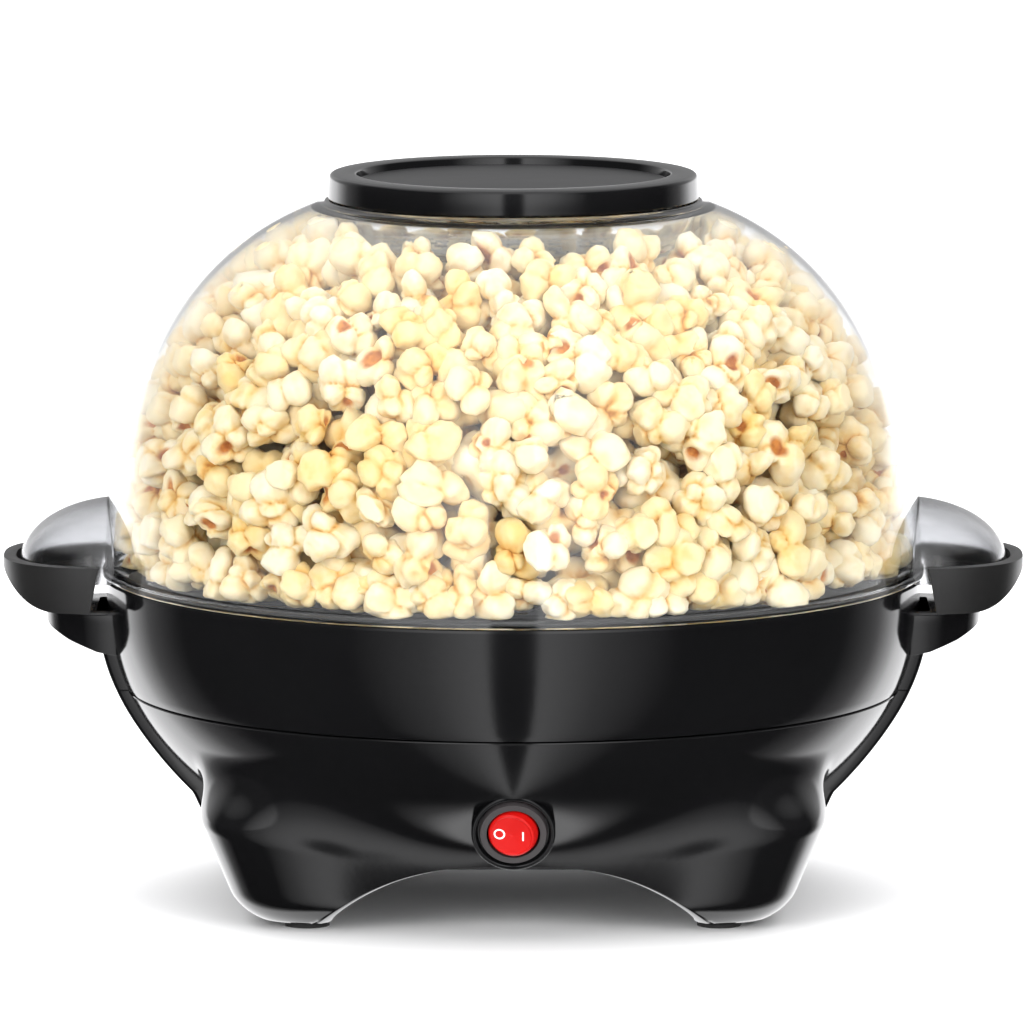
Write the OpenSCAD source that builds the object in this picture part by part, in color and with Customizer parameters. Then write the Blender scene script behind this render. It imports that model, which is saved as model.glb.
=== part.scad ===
// Stirring popcorn maker: electric base with a stirred heating plate, and a clear dome that is also the bowl.
// All dimensions are in millimetres. Floor at z = 0, the front with the switch faces -Y.

/* [Base] */
// radius of the base at its rim
rim_r = 138.2; // [120:0.2:150]
// height of the base's rim above the floor
rim_z = 110.6; // [100:0.2:120]
// height of the joint between upper ring and lower housing
seam_z = 72.6; // [60:0.2:85]
// wall thickness of the moulded housings
wall = 2.6; // [2:0.1:4]
// height of the four arches between the legs
arch_z = 24.8; // [15:0.1:30]
// half the width of the front and rear arches
arch_front = 67; // [50:1:75]
// half the width of the side arches
arch_side = 57; // [45:1:70]
// half the width of the leg skirt, side to side, at the floor
skirt_x = 91.2; // [85:0.2:110]
// half the depth of the leg skirt, front to back, at the floor
skirt_y = 79.5; // [70:0.5:95]

/* [Dome] */
// outer radius of the dome above its flange
dome_r = 138.6; // [120:0.2:150]
// height of the dome's crown above the floor if it had no neck
dome_top = 244.3; // [220:0.1:270]
// wall thickness of the dome
dome_wall = 2.2; // [1.5:0.1:4]
// radius of the butter well's floor
well_r = 52; // [40:1:56]
// depth of the butter well below the neck
well_depth = 15; // [8:1:25]
// distance from the axis to the tip of each grip
grip_tip = 173; // [160:1:190]
// half the width of each grip at its root
grip_half = 40; // [30:1:50]

/* [Cap] */
// radius of the cap over the butter well
cap_r = 62.8; // [50:0.2:75]
// height of the cap's top above the floor
cap_top = 247; // [240:0.5:260]
// radius of the recessed disc in the cap's top
cap_recess_r = 52.7; // [40:0.1:58]

/* [Drive] */
// module of the gears
gear_m = 1; // [0.8:0.1:1.2]
// teeth on the large gears
big_teeth = 32; // [24:2:40]
// teeth on the small pinions
small_teeth = 8; // [8:1:12]
// radius of the stirrer shaft
shaft_r = 3; // [2:0.5:5]
// reach of the stirring rod from the axis
rod_reach = 100; // [70:1:105]

/* [Switch] */
// radius of the switch bezel
bezel_r = 11.5; // [9:0.5:14]
// tilt of the switch axis below level, in degrees
switch_tilt = 20; // [0:1:35]
// tilt of the rocker either side of its middle, in degrees
rocker_tilt = 12; // [5:1:15]

/* [Hidden] */
$fn = 96;
eps = 0.01;

// Colours
gloss_black = [0.03, 0.03, 0.035];
satin_black = [0.08, 0.08, 0.085];
clear_smoke = [0.85, 0.87, 0.9, 0.35];
steel = [0.75, 0.75, 0.77];
coated = [0.2, 0.2, 0.21];
brass = [0.78, 0.62, 0.3];
white_plastic = [0.9, 0.9, 0.88];
red_plastic = [0.85, 0.03, 0.02];
rubber_black = [0.06, 0.06, 0.06];

// Outer bowl of the base: radius at height z
bowl_drop = 117.4;
function bowl(z) = rim_r * pow(1 - pow(max(0, 108 - z) / bowl_drop, 2.4), 1 / 1.175);

// Leg skirt: a rounded square that widens upwards and is rounded under at the feet
foot_round = 12;
skirt_slope_x = 0.375;
skirt_slope_y = 0.5;
function tuck(z) = z >= foot_round ? 0
    : foot_round - sqrt(pow(foot_round, 2) - pow(foot_round - max(z, 0.5), 2));
function half_x(z) = skirt_x + skirt_slope_x * z - tuck(z);
function half_y(z) = skirt_y + skirt_slope_y * z - tuck(z);
function skirt(a, z) = 1 / pow(pow(abs(cos(a)) / half_x(z), 8) + pow(abs(sin(a)) / half_y(z), 8), 1 / 8);

// The skirt fades into the bowl over a rounded shoulder
shoulder_low_side = 28;
shoulder_low_front = 27;
shoulder_side = 35;
shoulder_front = 66;
blend = 7;
function smooth(t) = let(c = min(1, max(0, t))) c * c * (3 - 2 * c);
function fold(a) = let(b = abs(a) % 180) b > 90 ? 180 - b : b;
function frontness(a) = smooth((fold(a) - 16) / 32);
function shoulder(a) = shoulder_side + (shoulder_front - shoulder_side) * frontness(a);
function shoulder_low(a) = shoulder_low_side + (shoulder_low_front - shoulder_low_side) * frontness(a);
function fade(a, z) = 1 - smooth((z - shoulder_low(a)) / (shoulder(a) - shoulder_low(a)));
function soft(e) = (e + sqrt(e * e + blend * blend)) / 2;
function shell(a, z) = bowl(z) + fade(a, z) * soft(skirt(a, z) - bowl(z));

// Lower edge of the housing: an arch on each side between the legs
foot_z = 1.5;
function arch(u, half) = foot_z + (u >= half ? 0 : (arch_z - foot_z) * (1 - pow(u / half, 2.6)));
function front_arch(t, y, n) = let(z = arch(y * t, arch_front)) n == 0 ? z
    : front_arch(t, (y + half_y(z)) / 2, n - 1);
function side_arch(t, x, n) = let(z = arch(x * t, arch_side)) n == 0 ? z
    : side_arch(t, (x + half_x(z)) / 2, n - 1);
function low_edge(a) = let(b = fold(a)) b < 42 ? side_arch(tan(b), half_x(15), 6)
    : front_arch(tan(90 - b), half_y(15), 6);

// Inner face of the wall, offset along the surface normal
function lean(a, z) = (shell(a, z + 1) - shell(a, z - 1)) / 2;
function inside(a, z) = shell(a, z) - wall * min(2.2, sqrt(1 + pow(lean(a, z), 2)));

// Shell mesh
shell_steps = 96;
foot_rows = 5;
levels = [27, 29, 31, 33, 35, 38, 41, 45, 50, 57, 64];
lip_z = seam_z - 0.3;
shell_rows = foot_rows + len(levels);
function row_z(a, j) = j == shell_rows ? lip_z
    : j >= foot_rows ? levels[j - foot_rows]
    : low_edge(a) + (levels[0] - low_edge(a)) * j / foot_rows;
function on_ring(r, a, z) = [r * cos(a), r * sin(a), z];

module housing_shell() {
    n = shell_steps;
    m = shell_rows + 1;
    outer = [for (j = [0:m - 1]) for (i = [0:n - 1])
        let(a = i * 360 / n) on_ring(shell(a, row_z(a, j)), a, row_z(a, j))];
    inner = [for (j = [0:m - 1]) for (i = [0:n - 1])
        let(a = i * 360 / n) on_ring(inside(a, row_z(a, j)), a, row_z(a, j))];
    skin = [for (j = [0:m - 2]) for (i = [0:n - 1])
        let(k = (i + 1) % n)
        for (f = [[j * n + i, (j + 1) * n + i, (j + 1) * n + k], [j * n + i, (j + 1) * n + k, j * n + k]]) f];
    lining = [for (f = skin) [f[0] + m * n, f[2] + m * n, f[1] + m * n]];
    base = m * n;
    top = (m - 1) * n;
    edges = [for (i = [0:n - 1])
        let(k = (i + 1) % n)
        for (f = [[i, k, base + k], [i, base + k, base + i],
            [top + i, base + top + k, top + k], [top + i, base + top + i, base + top + k]]) f];
    polyhedron(points = concat(outer, inner), faces = concat(skin, lining, edges), convexity = 6);
}

// Raised band under each handle: proud of the bowl, spreading into the legs below
band_low = 24;
band_knee = 38;
function band_line(z) = bowl(z) + 3.2 + 0.0033 * pow(max(0, 62 - z), 2);
function band(z) = z >= band_knee ? band_line(z)
    : half_x(band_low)
        + (band_line(band_knee) - half_x(band_low)) * pow((z - band_low) / (band_knee - band_low), 0.8);
function band_half(z) = 17 + 5 * pow(max(0, 72 - z) / 34, 1.8);
band_high = 99.6;
lug_top = 99.6;
module band_solid(z0, z1, depth) {
    steps = 12;
    zs = [for (i = [0:steps]) z0 + (z1 - z0) * i / steps];
    intersection() {
        rotate([90, 0, 0]) linear_extrude(130, center = true)
            polygon(concat([for (z = zs) [band(z), z]],
                [for (i = [steps:-1:0]) [shell(0, zs[i]) - depth, zs[i]]]));
        translate([90, 0, 0]) rotate([90, 0, 90]) linear_extrude(60)
            polygon(concat([for (z = zs) [band_half(z), z]],
                [for (i = [steps:-1:0]) [-band_half(zs[i]), zs[i]]]));
    }
}
module both_sides() {
    children();
    rotate([0, 0, 180]) children();
}

// Feet and screw posts
foot_x = 69;
foot_y = 63;
boss_r = 8.5;
stem_r = 3;
cover_z = 23;
cover_t = 2.5;
cover_screw_r = 96;
cover_screw_angles = [50, 130, 230, 310];
screw_r = 1.7;
ring_screw_r = 113;
ring_boss_z = 57;
ring_screw_angles = [25, 155, 205, 335];
module at_feet() {
    for (x = [-1, 1]) for (y = [-1, 1]) translate([x * foot_x, y * foot_y, 0]) children();
}
module at_angles(angles, r) {
    for (a = angles) rotate([0, 0, a]) translate([r, 0, 0]) children();
}

// Switch and rear inlet positions
switch_face = [0, -113.5, 39.2];
collar_r = 13.9;
switch_hole_r = 10.2;
seat_depth = 1.6;
gland_z = 48;
gland_face_y = 118.5;
gland_hole_r = 6.2;
module at_switch() {
    translate(switch_face) rotate([90 + switch_tilt, 0, 0]) children();
}
module at_gland() {
    translate([0, gland_face_y, gland_z]) rotate([-90, 0, 0]) children();
}

module lower_housing() {
    color(gloss_black) difference() {
        union() {
            housing_shell();
            both_sides() band_solid(band_low, lip_z, 2.2);
            at_switch() translate([0, 0, -22]) cylinder(r = collar_r, h = 22);
            at_gland() translate([0, 0, -18]) cylinder(r = 9.5, h = 18);
            at_feet() translate([0, 0, foot_z]) cylinder(r = boss_r, h = 26);
            at_angles(cover_screw_angles, cover_screw_r) {
                translate([0, 0, cover_z + cover_t]) cylinder(r = 4.5, h = 14);
                translate([2, -1.2, cover_z + cover_t + 2]) cube([15.5, 2.4, 13]);
            }
            at_angles(ring_screw_angles, ring_screw_r) {
                translate([0, 0, ring_boss_z]) cylinder(r = 4, h = lip_z - ring_boss_z);
                translate([2, -1.2, ring_boss_z]) cube([6.8, 2.4, 9]);
            }
        }
        at_switch() {
            translate([0, 0, -60]) cylinder(r = switch_hole_r, h = 70);
            translate([0, 0, -seat_depth]) cylinder(r = bezel_r + 0.3, h = 10);
            translate([0, 0, -42]) cylinder(r = collar_r - 2, h = 38);
        }
        at_gland() {
            cylinder(r = 9.2, h = 10);
            translate([0, 0, -60]) cylinder(r = gland_hole_r, h = 70);
            translate([0, 0, -42]) cylinder(r = 8, h = 36);
        }
        at_feet() translate([0, 0, 0]) cylinder(r = stem_r + 0.05, h = 9);
        at_angles(cover_screw_angles, cover_screw_r) translate([0, 0, 20]) cylinder(r = screw_r, h = 16);
        at_angles(ring_screw_angles, ring_screw_r)
            translate([0, 0, ring_boss_z - 1]) cylinder(r = screw_r + 0.2, h = 40);
    }
}

// Upper ring with its plate ledge, locating tongue and a lug under each grip
ring_wall = 3;
ledge_in = 127.6;
ledge_z = 103;
ledge_t = 2;
lug_tip = 158.5;
lug_half = 27;
tongue_drop = 3.4;
ring_boss_h = 16.9;
module lug_solid() {
    n = 24;
    plan = [for (i = [0:n])
        let(t = 180 * i / n, s = sin(t), c = cos(t))
        [132 + (lug_tip - 132) * pow(s, 2 / 2.5), lug_half * sign(c) * pow(abs(c), 2 / 2.5)]];
    intersection() {
        linear_extrude(130) polygon(plan);
        rotate([90, 0, 0]) linear_extrude(2 * lug_half + 2, center = true)
            polygon([[133, 85.5], [140.6, 86.8], [150, 90.4], [157, 94], [lug_tip, 95.6], [lug_tip, 98.8],
                [157.6, lug_top], [133, lug_top]]);
    }
}
module upper_housing() {
    steps = 14;
    zs = [for (i = [0:steps]) seam_z + (rim_z - seam_z) * i / steps];
    color(gloss_black) difference() {
        union() {
            rotate_extrude() polygon(concat(
                [for (z = zs) [bowl(z), z]],
                [[bowl(rim_z) - ring_wall, rim_z], [bowl(rim_z) - ring_wall, ledge_z + ledge_t],
                    [ledge_in, ledge_z + ledge_t], [ledge_in, ledge_z], [134, ledge_z - 1]],
                [for (i = [steps - 4:-1:0]) [bowl(zs[i]) - ring_wall - 0.6, zs[i]]],
                [[bowl(seam_z - tongue_drop) - 5.6, seam_z - tongue_drop],
                    [bowl(seam_z - tongue_drop) - 3.6, seam_z - tongue_drop],
                    [bowl(seam_z) - 3.4, seam_z]]));
            both_sides() band_solid(seam_z, band_high, 1.5);
            both_sides() lug_solid();
            at_angles(ring_screw_angles, ring_screw_r) difference() {
                union() {
                    translate([0, 0, seam_z]) cylinder(r = 4, h = ring_boss_h);
                    translate([2, -1.2, seam_z + 4]) cube([17, 2.4, ring_boss_h - 4]);
                }
                translate([0, 0, seam_z - 1]) cylinder(r = screw_r, h = 15);
            }
        }
        at_angles(ring_screw_angles, ring_screw_r) translate([0, 0, seam_z - 6]) cylinder(r = 4.4, h = 5.9);
        at_angles(ring_screw_angles, ring_screw_r)
            translate([0, 0, seam_z - 1]) cylinder(r = screw_r, h = 15);
    }
}

// Cover that closes the bowl from below, following the inside of the shell
module bottom_cover() {
    n = shell_steps;
    outline = [for (i = [0:n - 1])
        let(a = i * 360 / n, r = inside(a, cover_z) - 0.8) [r * cos(a), r * sin(a)]];
    color(satin_black) difference() {
        translate([0, 0, cover_z]) linear_extrude(cover_t) polygon(outline);
        at_feet() translate([0, 0, cover_z - 1]) cylinder(r = boss_r + 0.4, h = 10);
        at_angles(cover_screw_angles, cover_screw_r) translate([0, 0, cover_z - 1]) cylinder(r = 2.1, h = 10);
        for (a = [0:30:330]) rotate([0, 0, a]) translate([30, -1.5, cover_z - 1]) cube([22, 3, 10]);
        at_switch() translate([0, 0, -60]) cylinder(r = collar_r + 0.5, h = 70);
    }
}
module screw(r, head_r, head_h, len) {
    difference() {
        union() {
            cylinder(r = head_r, h = head_h);
            translate([0, 0, head_h - eps]) cylinder(r = r, h = len + eps);
        }
        for (a = [0, 90]) rotate([0, 0, a]) translate([-head_r * 0.65, -0.35, -1]) cube([head_r * 1.3, 0.7, 2]);
    }
}
module cover_screws() {
    color(steel) at_angles(cover_screw_angles, cover_screw_r)
        translate([0, 0, cover_z - 2]) screw(screw_r - 0.1, 3.4, 2, 12);
}
module ring_screws() {
    color(steel) at_angles(ring_screw_angles, ring_screw_r)
        translate([0, 0, ring_boss_z - 2.1]) screw(screw_r - 0.1, 3.2, 2, 26);
}
module foot_pads() {
    color(rubber_black) at_feet() {
        cylinder(r = boss_r - 1, h = foot_z);
        cylinder(r = stem_r, h = 8);
    }
}

// Heating plate and what hangs under it
plate_t = 2.2;
hub_hole_r = 5.05;
plate_top = [[hub_hole_r, 94], [16, 94], [28, 92], [70, 91], [96, 91.6], [108, 93.6], [117, 97],
    [123.4, 102], [126, 107.2], [132, 107.4]];
module heating_plate() {
    lower = [for (i = [len(plate_top) - 1:-1:0]) let(p = plate_top[i])
        [p[0] + (i > 6 && i < 9 ? plate_t * 0.7 : 0), p[1] - plate_t]];
    color(coated) difference() {
        rotate_extrude() polygon(concat([for (i = [len(plate_top) - 1:-1:0]) plate_top[i]],
            [for (i = [len(lower) - 1:-1:0]) lower[i]]));
        translate([0, 0, 85]) cylinder(r = hub_hole_r, h = 12);
    }
}
element_r = 62;
tube_r = 3.3;
element_z = 85.3;
element_gap = 50;
module heating_element() {
    color(steel) {
        rotate([0, 0, 90 + element_gap / 2]) rotate_extrude(angle = 360 - element_gap)
            translate([element_r, element_z]) circle(r = tube_r);
        for (s = [-1, 1]) rotate([0, 0, 90 + s * element_gap / 2]) translate([element_r, 0, 0]) {
            translate([0, 0, element_z]) sphere(r = tube_r);
            translate([0, 0, 76]) cylinder(r = tube_r, h = element_z - 76);
            translate([0, 0, 73]) cylinder(r = 1.2, h = 4);
        }
    }
}
module element_clamps() {
    color(steel) at_angles([200, 270, 340], element_r) {
        translate([-8, -5, 80.6]) cube([16, 10, 1.2]);
        for (s = [-8, 6.8]) translate([s, -5, 80.6]) cube([1.2, 10, 8.2]);
    }
}
module thermostat() {
    color(brass) translate([0, -34, 0]) {
        translate([0, 0, 83]) cylinder(r = 8.5, h = 6);
        translate([0, 0, 79]) cylinder(r = 6.5, h = 4);
        for (s = [-1, 1]) translate([s * 5 - 2, -0.4, 74.5]) cube([4, 0.8, 5]);
    }
}
module thermal_fuse() {
    color(white_plastic) translate([-34, 0, 86]) {
        rotate([90, 0, 0]) cylinder(r = 2.4, h = 16, center = true);
        rotate([90, 0, 0]) cylinder(r = 0.6, h = 26, center = true);
        translate([-5, -3, 1.6]) cube([10, 6, 1.4]);
    }
}

shield_z = 70;
shield_t = 1;
shield_r = 96;
case_tab = 44;
tab_hole_r = case_tab - 4.5;
post_r = 80;
post_angles = [45, 135, 225, 315];
module heat_shield() {
    color(steel) difference() {
        union() {
            translate([0, 0, shield_z]) cylinder(r = shield_r, h = shield_t);
            rotate_extrude() translate([shield_r - 1, shield_z]) square([1, 6]);
        }
        translate([0, 0, shield_z - 1]) cylinder(r = 9, h = 4);
        at_angles(post_angles, post_r) translate([0, 0, shield_z - 1]) cylinder(r = 2.1, h = 4);
        for (a = [65, 115]) rotate([0, 0, a]) translate([element_r, 0, shield_z - 1]) cylinder(r = 5, h = 4);
        at_angles([60, 180, 300], tab_hole_r)
            translate([0, 0, shield_z - 1]) cylinder(r = screw_r + 0.1, h = 4);
    }
}
module plate_posts() {
    color(steel) at_angles(post_angles, post_r) {
        translate([0, 0, shield_z + shield_t]) cylinder(r = 3.5, h = 88.8 - shield_z - shield_t);
        translate([0, 0, shield_z - 6]) cylinder(r = 2, h = 8);
    }
}
module post_nuts() {
    color(steel) at_angles(post_angles, post_r) translate([0, 0, shield_z - 3.2]) difference() {
        cylinder(r = 4, h = 3, $fn = 6);
        translate([0, 0, -1]) cylinder(r = 2.05, h = 5);
    }
}

// Shaft, seal and stirrer
module shaft_bushing() {
    color(brass) difference() {
        union() {
            translate([0, 0, 86]) cylinder(r = hub_hole_r - 0.02, h = 10);
            translate([0, 0, 86]) cylinder(r = 8, h = 5.6);
        }
        translate([0, 0, 85]) cylinder(r = shaft_r + 0.05, h = 12);
    }
}
module seal_washer() {
    color(rubber_black) translate([0, 0, 96]) difference() {
        cylinder(r = 7.5, h = 1.2);
        translate([0, 0, -1]) cylinder(r = shaft_r + 0.05, h = 4);
    }
}
shaft_low = 59.4;
shaft_high = 110;
module stirrer_shaft() {
    color(steel) {
        translate([0, 0, shaft_low]) cylinder(r = shaft_r, h = 107 - shaft_low);
        translate([0, 0, 106]) cylinder(r = shaft_r - 0.6, h = shaft_high - 106);
    }
}
hub_z = 97.6;
module stirrer_hub() {
    color(satin_black) difference() {
        union() {
            translate([0, 0, hub_z]) cylinder(r = 9, h = 8.4);
            translate([0, 0, hub_z]) cylinder(r = 11, h = 1.6);
        }
        translate([0, 0, hub_z - 1]) cylinder(r = shaft_r + 0.02, h = 12);
        for (s = [0, 180]) rotate([0, 0, s]) translate([4, 0, 102]) rotate([0, 90, 0]) cylinder(r = 2.05, h = 12);
    }
}
rod_r = 2;
rod_path = [[4.5, 0, 102], [22, 0, 101.5], [44, 6, 95.6], [72, 20, 95]];

// A round bar swept through a list of points
function unit(v) = v / norm(v);
function heading(path, i) = unit(path[min(i + 1, len(path) - 1)] - path[max(i - 1, 0)]);
function mid_points(path) = [for (i = [0:len(path) - 1]) for (q = i == 0 || i == len(path) - 1 ? [path[i]]
    : [path[i] + (path[i - 1] - path[i]) * 0.25, path[i] + (path[i + 1] - path[i]) * 0.25]) q];
module sweep(route, r, sides) {
    path = mid_points(mid_points(route));
    n = len(path);
    pts = [for (i = [0:n - 1])
        let(h = heading(path, i), s = unit(cross(h, [0.2, 0.3, 1])), u = cross(s, h))
        for (j = [0:sides - 1]) path[i] + r * (cos(360 * j / sides) * s + sin(360 * j / sides) * u)];
    skin = [for (i = [0:n - 2]) for (j = [0:sides - 1])
        let(k = (j + 1) % sides, a = i * sides, b = (i + 1) * sides)
        for (f = [[a + j, b + j, b + k], [a + j, b + k, a + k]]) f];
    polyhedron(points = pts, faces = concat(skin, [[for (j = [0:sides - 1]) j]],
        [[for (j = [sides - 1:-1:0]) (n - 1) * sides + j]]));
}
module stirring_rod() {
    tip = [rod_reach * cos(24), rod_reach * sin(24), 95.6];
    path = concat(rod_path, [tip]);
    color(steel) both_sides() sweep(path, rod_r, 12);
}
module hub_cap() {
    color(steel) difference() {
        union() {
            translate([0, 0, 106.1]) cylinder(r = 5.5, h = 3.5, $fn = 6);
            intersection() {
                translate([0, 0, 107.4]) sphere(r = 4.9);
                translate([0, 0, 107]) cylinder(r = 6, h = 8);
            }
        }
        translate([0, 0, 105]) cylinder(r = shaft_r + 0.02, h = 2.1);
        translate([0, 0, 105]) cylinder(r = shaft_r - 0.58, h = 5.4);
    }
}

// Gears: straight-sided teeth with running backlash
pitch_big = gear_m * big_teeth / 2;
pitch_small = gear_m * small_teeth / 2;
centre_gap = pitch_big + pitch_small;
module gear_plan(teeth, shift = 0) {
    r = gear_m * teeth / 2;
    ra = r + 0.85 * gear_m;
    rf = r - 1.1 * gear_m;
    p = 360 / teeth;
    polygon([for (i = [0:teeth - 1]) for (q = [[rf, -0.30], [ra, -0.12], [ra, 0.12], [rf, 0.30]])
        let(a = (i + q[1] + shift) * p) q[0] * [cos(a), sin(a)]]);
}
case_floor = 50;
case_roof = 67.4;
module case_plan(grow) {
    circle(r = 20 + grow);
    translate([centre_gap, 0]) circle(r = 20 + grow);
    translate([0, -20 - grow]) square([centre_gap, 40 + 2 * grow]);
}
module gear_case() {
    color(satin_black) {
        difference() {
            union() {
                translate([0, 0, case_floor]) linear_extrude(case_roof - case_floor) case_plan(1.6);
                at_angles([60, 180, 300], 0) translate([0, -5, case_roof - 4]) cube([case_tab, 10, 4]);
            }
            translate([0, 0, case_floor + 2]) linear_extrude(30) case_plan(0);
            translate([0, 0, case_floor - 1]) cylinder(r = 2.2, h = 5);
            at_angles([60, 180, 300], tab_hole_r) translate([0, 0, 60]) cylinder(r = screw_r + 0.1, h = 10);
        }
        translate([centre_gap, 0, case_floor + 1.5]) cylinder(r = 1.5, h = case_roof - case_floor - 1.7);
    }
}
module gear_case_cover() {
    color(steel) translate([0, 0, case_roof + 0.1]) difference() {
        union() {
            linear_extrude(1.5) case_plan(1.6);
            at_angles([60, 180, 300], 0) translate([0, -5, 0]) cube([case_tab, 10, 1.5]);
        }
        translate([0, 0, -1]) cylinder(r = shaft_r + 0.06, h = 4);
        at_angles([60, 180, 300], tab_hole_r) translate([0, 0, -1]) cylinder(r = screw_r + 0.1, h = 4);
    }
}
module gear_screws() {
    color(steel) at_angles([60, 180, 300], tab_hole_r)
        translate([0, 0, case_roof - 6]) screw(1.6, 3, 1.9, 7.6);
}
module motor_can() {
    color(steel) difference() {
        translate([0, 0, 28]) cylinder(r = 26, h = 21.8);
        translate([0, 0, 29.2]) cylinder(r = 24.8, h = 19.4);
        translate([0, 0, 40]) cylinder(r = 1.56, h = 12);
        translate([0, 0, 27]) cylinder(r = 1.56, h = 4);
    }
}
module motor_rotor() {
    color(brass) {
        translate([0, 0, 28.4]) cylinder(r = 1.5, h = 30.4);
        translate([0, 0, 31]) cylinder(r = 20, h = 15);
        translate([0, 0, 53]) linear_extrude(5) gear_plan(small_teeth);
    }
}
module idler_gear() {
    color(white_plastic) translate([centre_gap, 0, 0]) difference() {
        union() {
            translate([0, 0, 53]) linear_extrude(4.6) gear_plan(big_teeth, 0.5);
            translate([0, 0, 57.5]) linear_extrude(8.8) gear_plan(small_teeth, 0.5);
        }
        translate([0, 0, 50]) cylinder(r = 1.56, h = 20);
    }
}
module output_gear() {
    color(white_plastic) difference() {
        union() {
            translate([0, 0, 60]) linear_extrude(6) gear_plan(big_teeth);
        }
        translate([0, 0, 58]) cylinder(r = shaft_r + 0.02, h = 12);
    }
}

// Rocker switch, built along its own axis
rocker_depth = 2.4;
module switch_body() {
    color(satin_black) at_switch() difference() {
        union() {
            translate([0, 0, -seat_depth]) cylinder(r1 = bezel_r, r2 = bezel_r - 0.6, h = 1.9);
            translate([0, 0, -21]) cylinder(r = switch_hole_r - 0.2, h = 20);
        }
        translate([0, 0, -9]) cylinder(r = 8.9, h = 20);
        translate([0, 0, -rocker_depth]) rotate([90, 0, 0]) cylinder(r = 1.05, h = 19, center = true);
    }
}
module switch_rocker() {
    color(red_plastic) at_switch() translate([0, 0, -rocker_depth]) rotate([0, -rocker_tilt, 0]) {
        rotate_extrude() polygon([[0, -4], [6.4, -4], [8.4, -1.4], [8.4, 1.3], [7.7, 3.4], [7.1, 3.8],
            [6.6, 3.5], [0, 3]]);
        rotate([90, 0, 0]) cylinder(r = 1, h = 18.8, center = true);
    }
}
module switch_terminals() {
    color(brass) at_switch() for (s = [-5, 5]) translate([s - 0.4, -2.4, -29]) cube([0.8, 4.8, 8]);
}

// Wiring: supply enters at the rear inlet, joins at the block, and runs on to the switch and heater
wire_r = 1.3;
block_at = [-32, 62, 25.5];
live_path = [[-2.2, 107.5, 48], [-3, 98, 48], [-28, 86, 45], [-37, 70, 38]];
live_path_2 = [[-37, 62, 36], [-46, 40, 44], [-62, 0, 50], [-48, -50, 46], [-12, -78, 48], [-5, -85, 49.6]];
neutral_path = [[2.2, 107.5, 48], [1.5, 96, 46], [-16, 82, 42], [-27, 70, 38]];
neutral_path_2 = [[-27, 62, 36], [-28, 60, 48], [26, 60, 62], [26.2, 56.2, 72.8]];
module terminal_block() {
    color(white_plastic) translate(block_at) difference() {
        translate([-13, -6, 0.1]) cube([26, 20, 9]);
        for (s = [-5, 5]) translate([s, 12, 11]) rotate([90, 0, 0]) cylinder(r = 2.6, h = 20);
    }
}
module wires_live() {
    color([0.45, 0.2, 0.08]) {
        sweep(live_path, wire_r, 8);
        sweep(live_path_2, wire_r, 8);
    }
}
module wires_neutral() {
    color([0.1, 0.2, 0.6]) {
        sweep(neutral_path, wire_r, 8);
        sweep(neutral_path_2, wire_r, 8);
    }
}
gland_bore_r = 3.6;
module cord_gland() {
    color(satin_black) at_gland() difference() {
        union() {
            translate([0, 0, -10]) cylinder(r = gland_hole_r - 0.05, h = 10.2);
            translate([0, 0, 0.1]) cylinder(r = 8.4, h = 2.2);
            translate([0, 0, 2]) cylinder(r1 = 6.6, r2 = 5.6, h = 6);
        }
        translate([0, 0, -12]) cylinder(r = gland_bore_r, h = 24);
    }
}

// Dome: bowl-shaped shell with a flange, the neck, the butter well and a hollow wing on each side
flange_z = 111;
flange_t = 2.4;
flange_r = 139.4;
dome_base = 116;
dome_rise = 128.3;
neck_r = 64;
neck_z = 237.2;
well_mouth = 60.4;
function dome_z(r) = dome_base + dome_rise * pow(1 - pow(r / dome_r, 2.95), 1 / 1.95);
dome_steps = 22;
module dome_mass(grow = 0) {
    radii = [for (i = [0:dome_steps]) let(t = i / dome_steps) dome_r - (dome_r - neck_r) * pow(t, 1.9)];
    rotate_extrude() polygon(concat(
        [[0, flange_z], [flange_r + grow, flange_z], [flange_r + grow, flange_z + flange_t],
            [dome_r + 0.1 + grow, flange_z + flange_t + 0.4]],
        [for (r = radii) [r + grow, dome_z(r)]],
        [[neck_r, neck_z + 0.6], [neck_r - 0.6, 238.2], [0, 238.2]]));
}
module dome_hollow() {
    w = dome_wall;
    radii = [for (i = [0:dome_steps]) let(t = i / dome_steps) dome_r - (dome_r - neck_r) * pow(t, 1.9)];
    floor_z = 238.2 - well_depth;
    rotate_extrude() polygon(concat(
        [[0, flange_z - 10], [dome_r - w - 1.2, flange_z - 10], [dome_r - w, flange_z + 3]],
        [for (r = radii) let(lean = (dome_z(r - 0.5) - dome_z(r + 0.5 > dome_r ? dome_r : r + 0.5)),
            k = sqrt(1 + lean * lean)) [max(r - w * min(1, lean * 1.0 / k + 0.02), 0), dome_z(r) - w / k]],
        [[well_mouth + 1.2, neck_z - 4.4], [well_mouth - 0.6, floor_z + 4], [well_r + 2, floor_z - w],
            [0, floor_z - w]]));
}
module well_hollow() {
    floor_z = 238.2 - well_depth;
    rotate_extrude() polygon([[0, floor_z], [well_r, floor_z], [well_mouth - 3, floor_z + 4.4],
        [well_mouth - 1, neck_z - 3], [well_mouth, neck_z - 1], [well_mouth, 240], [0, 240]]);
}
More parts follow.
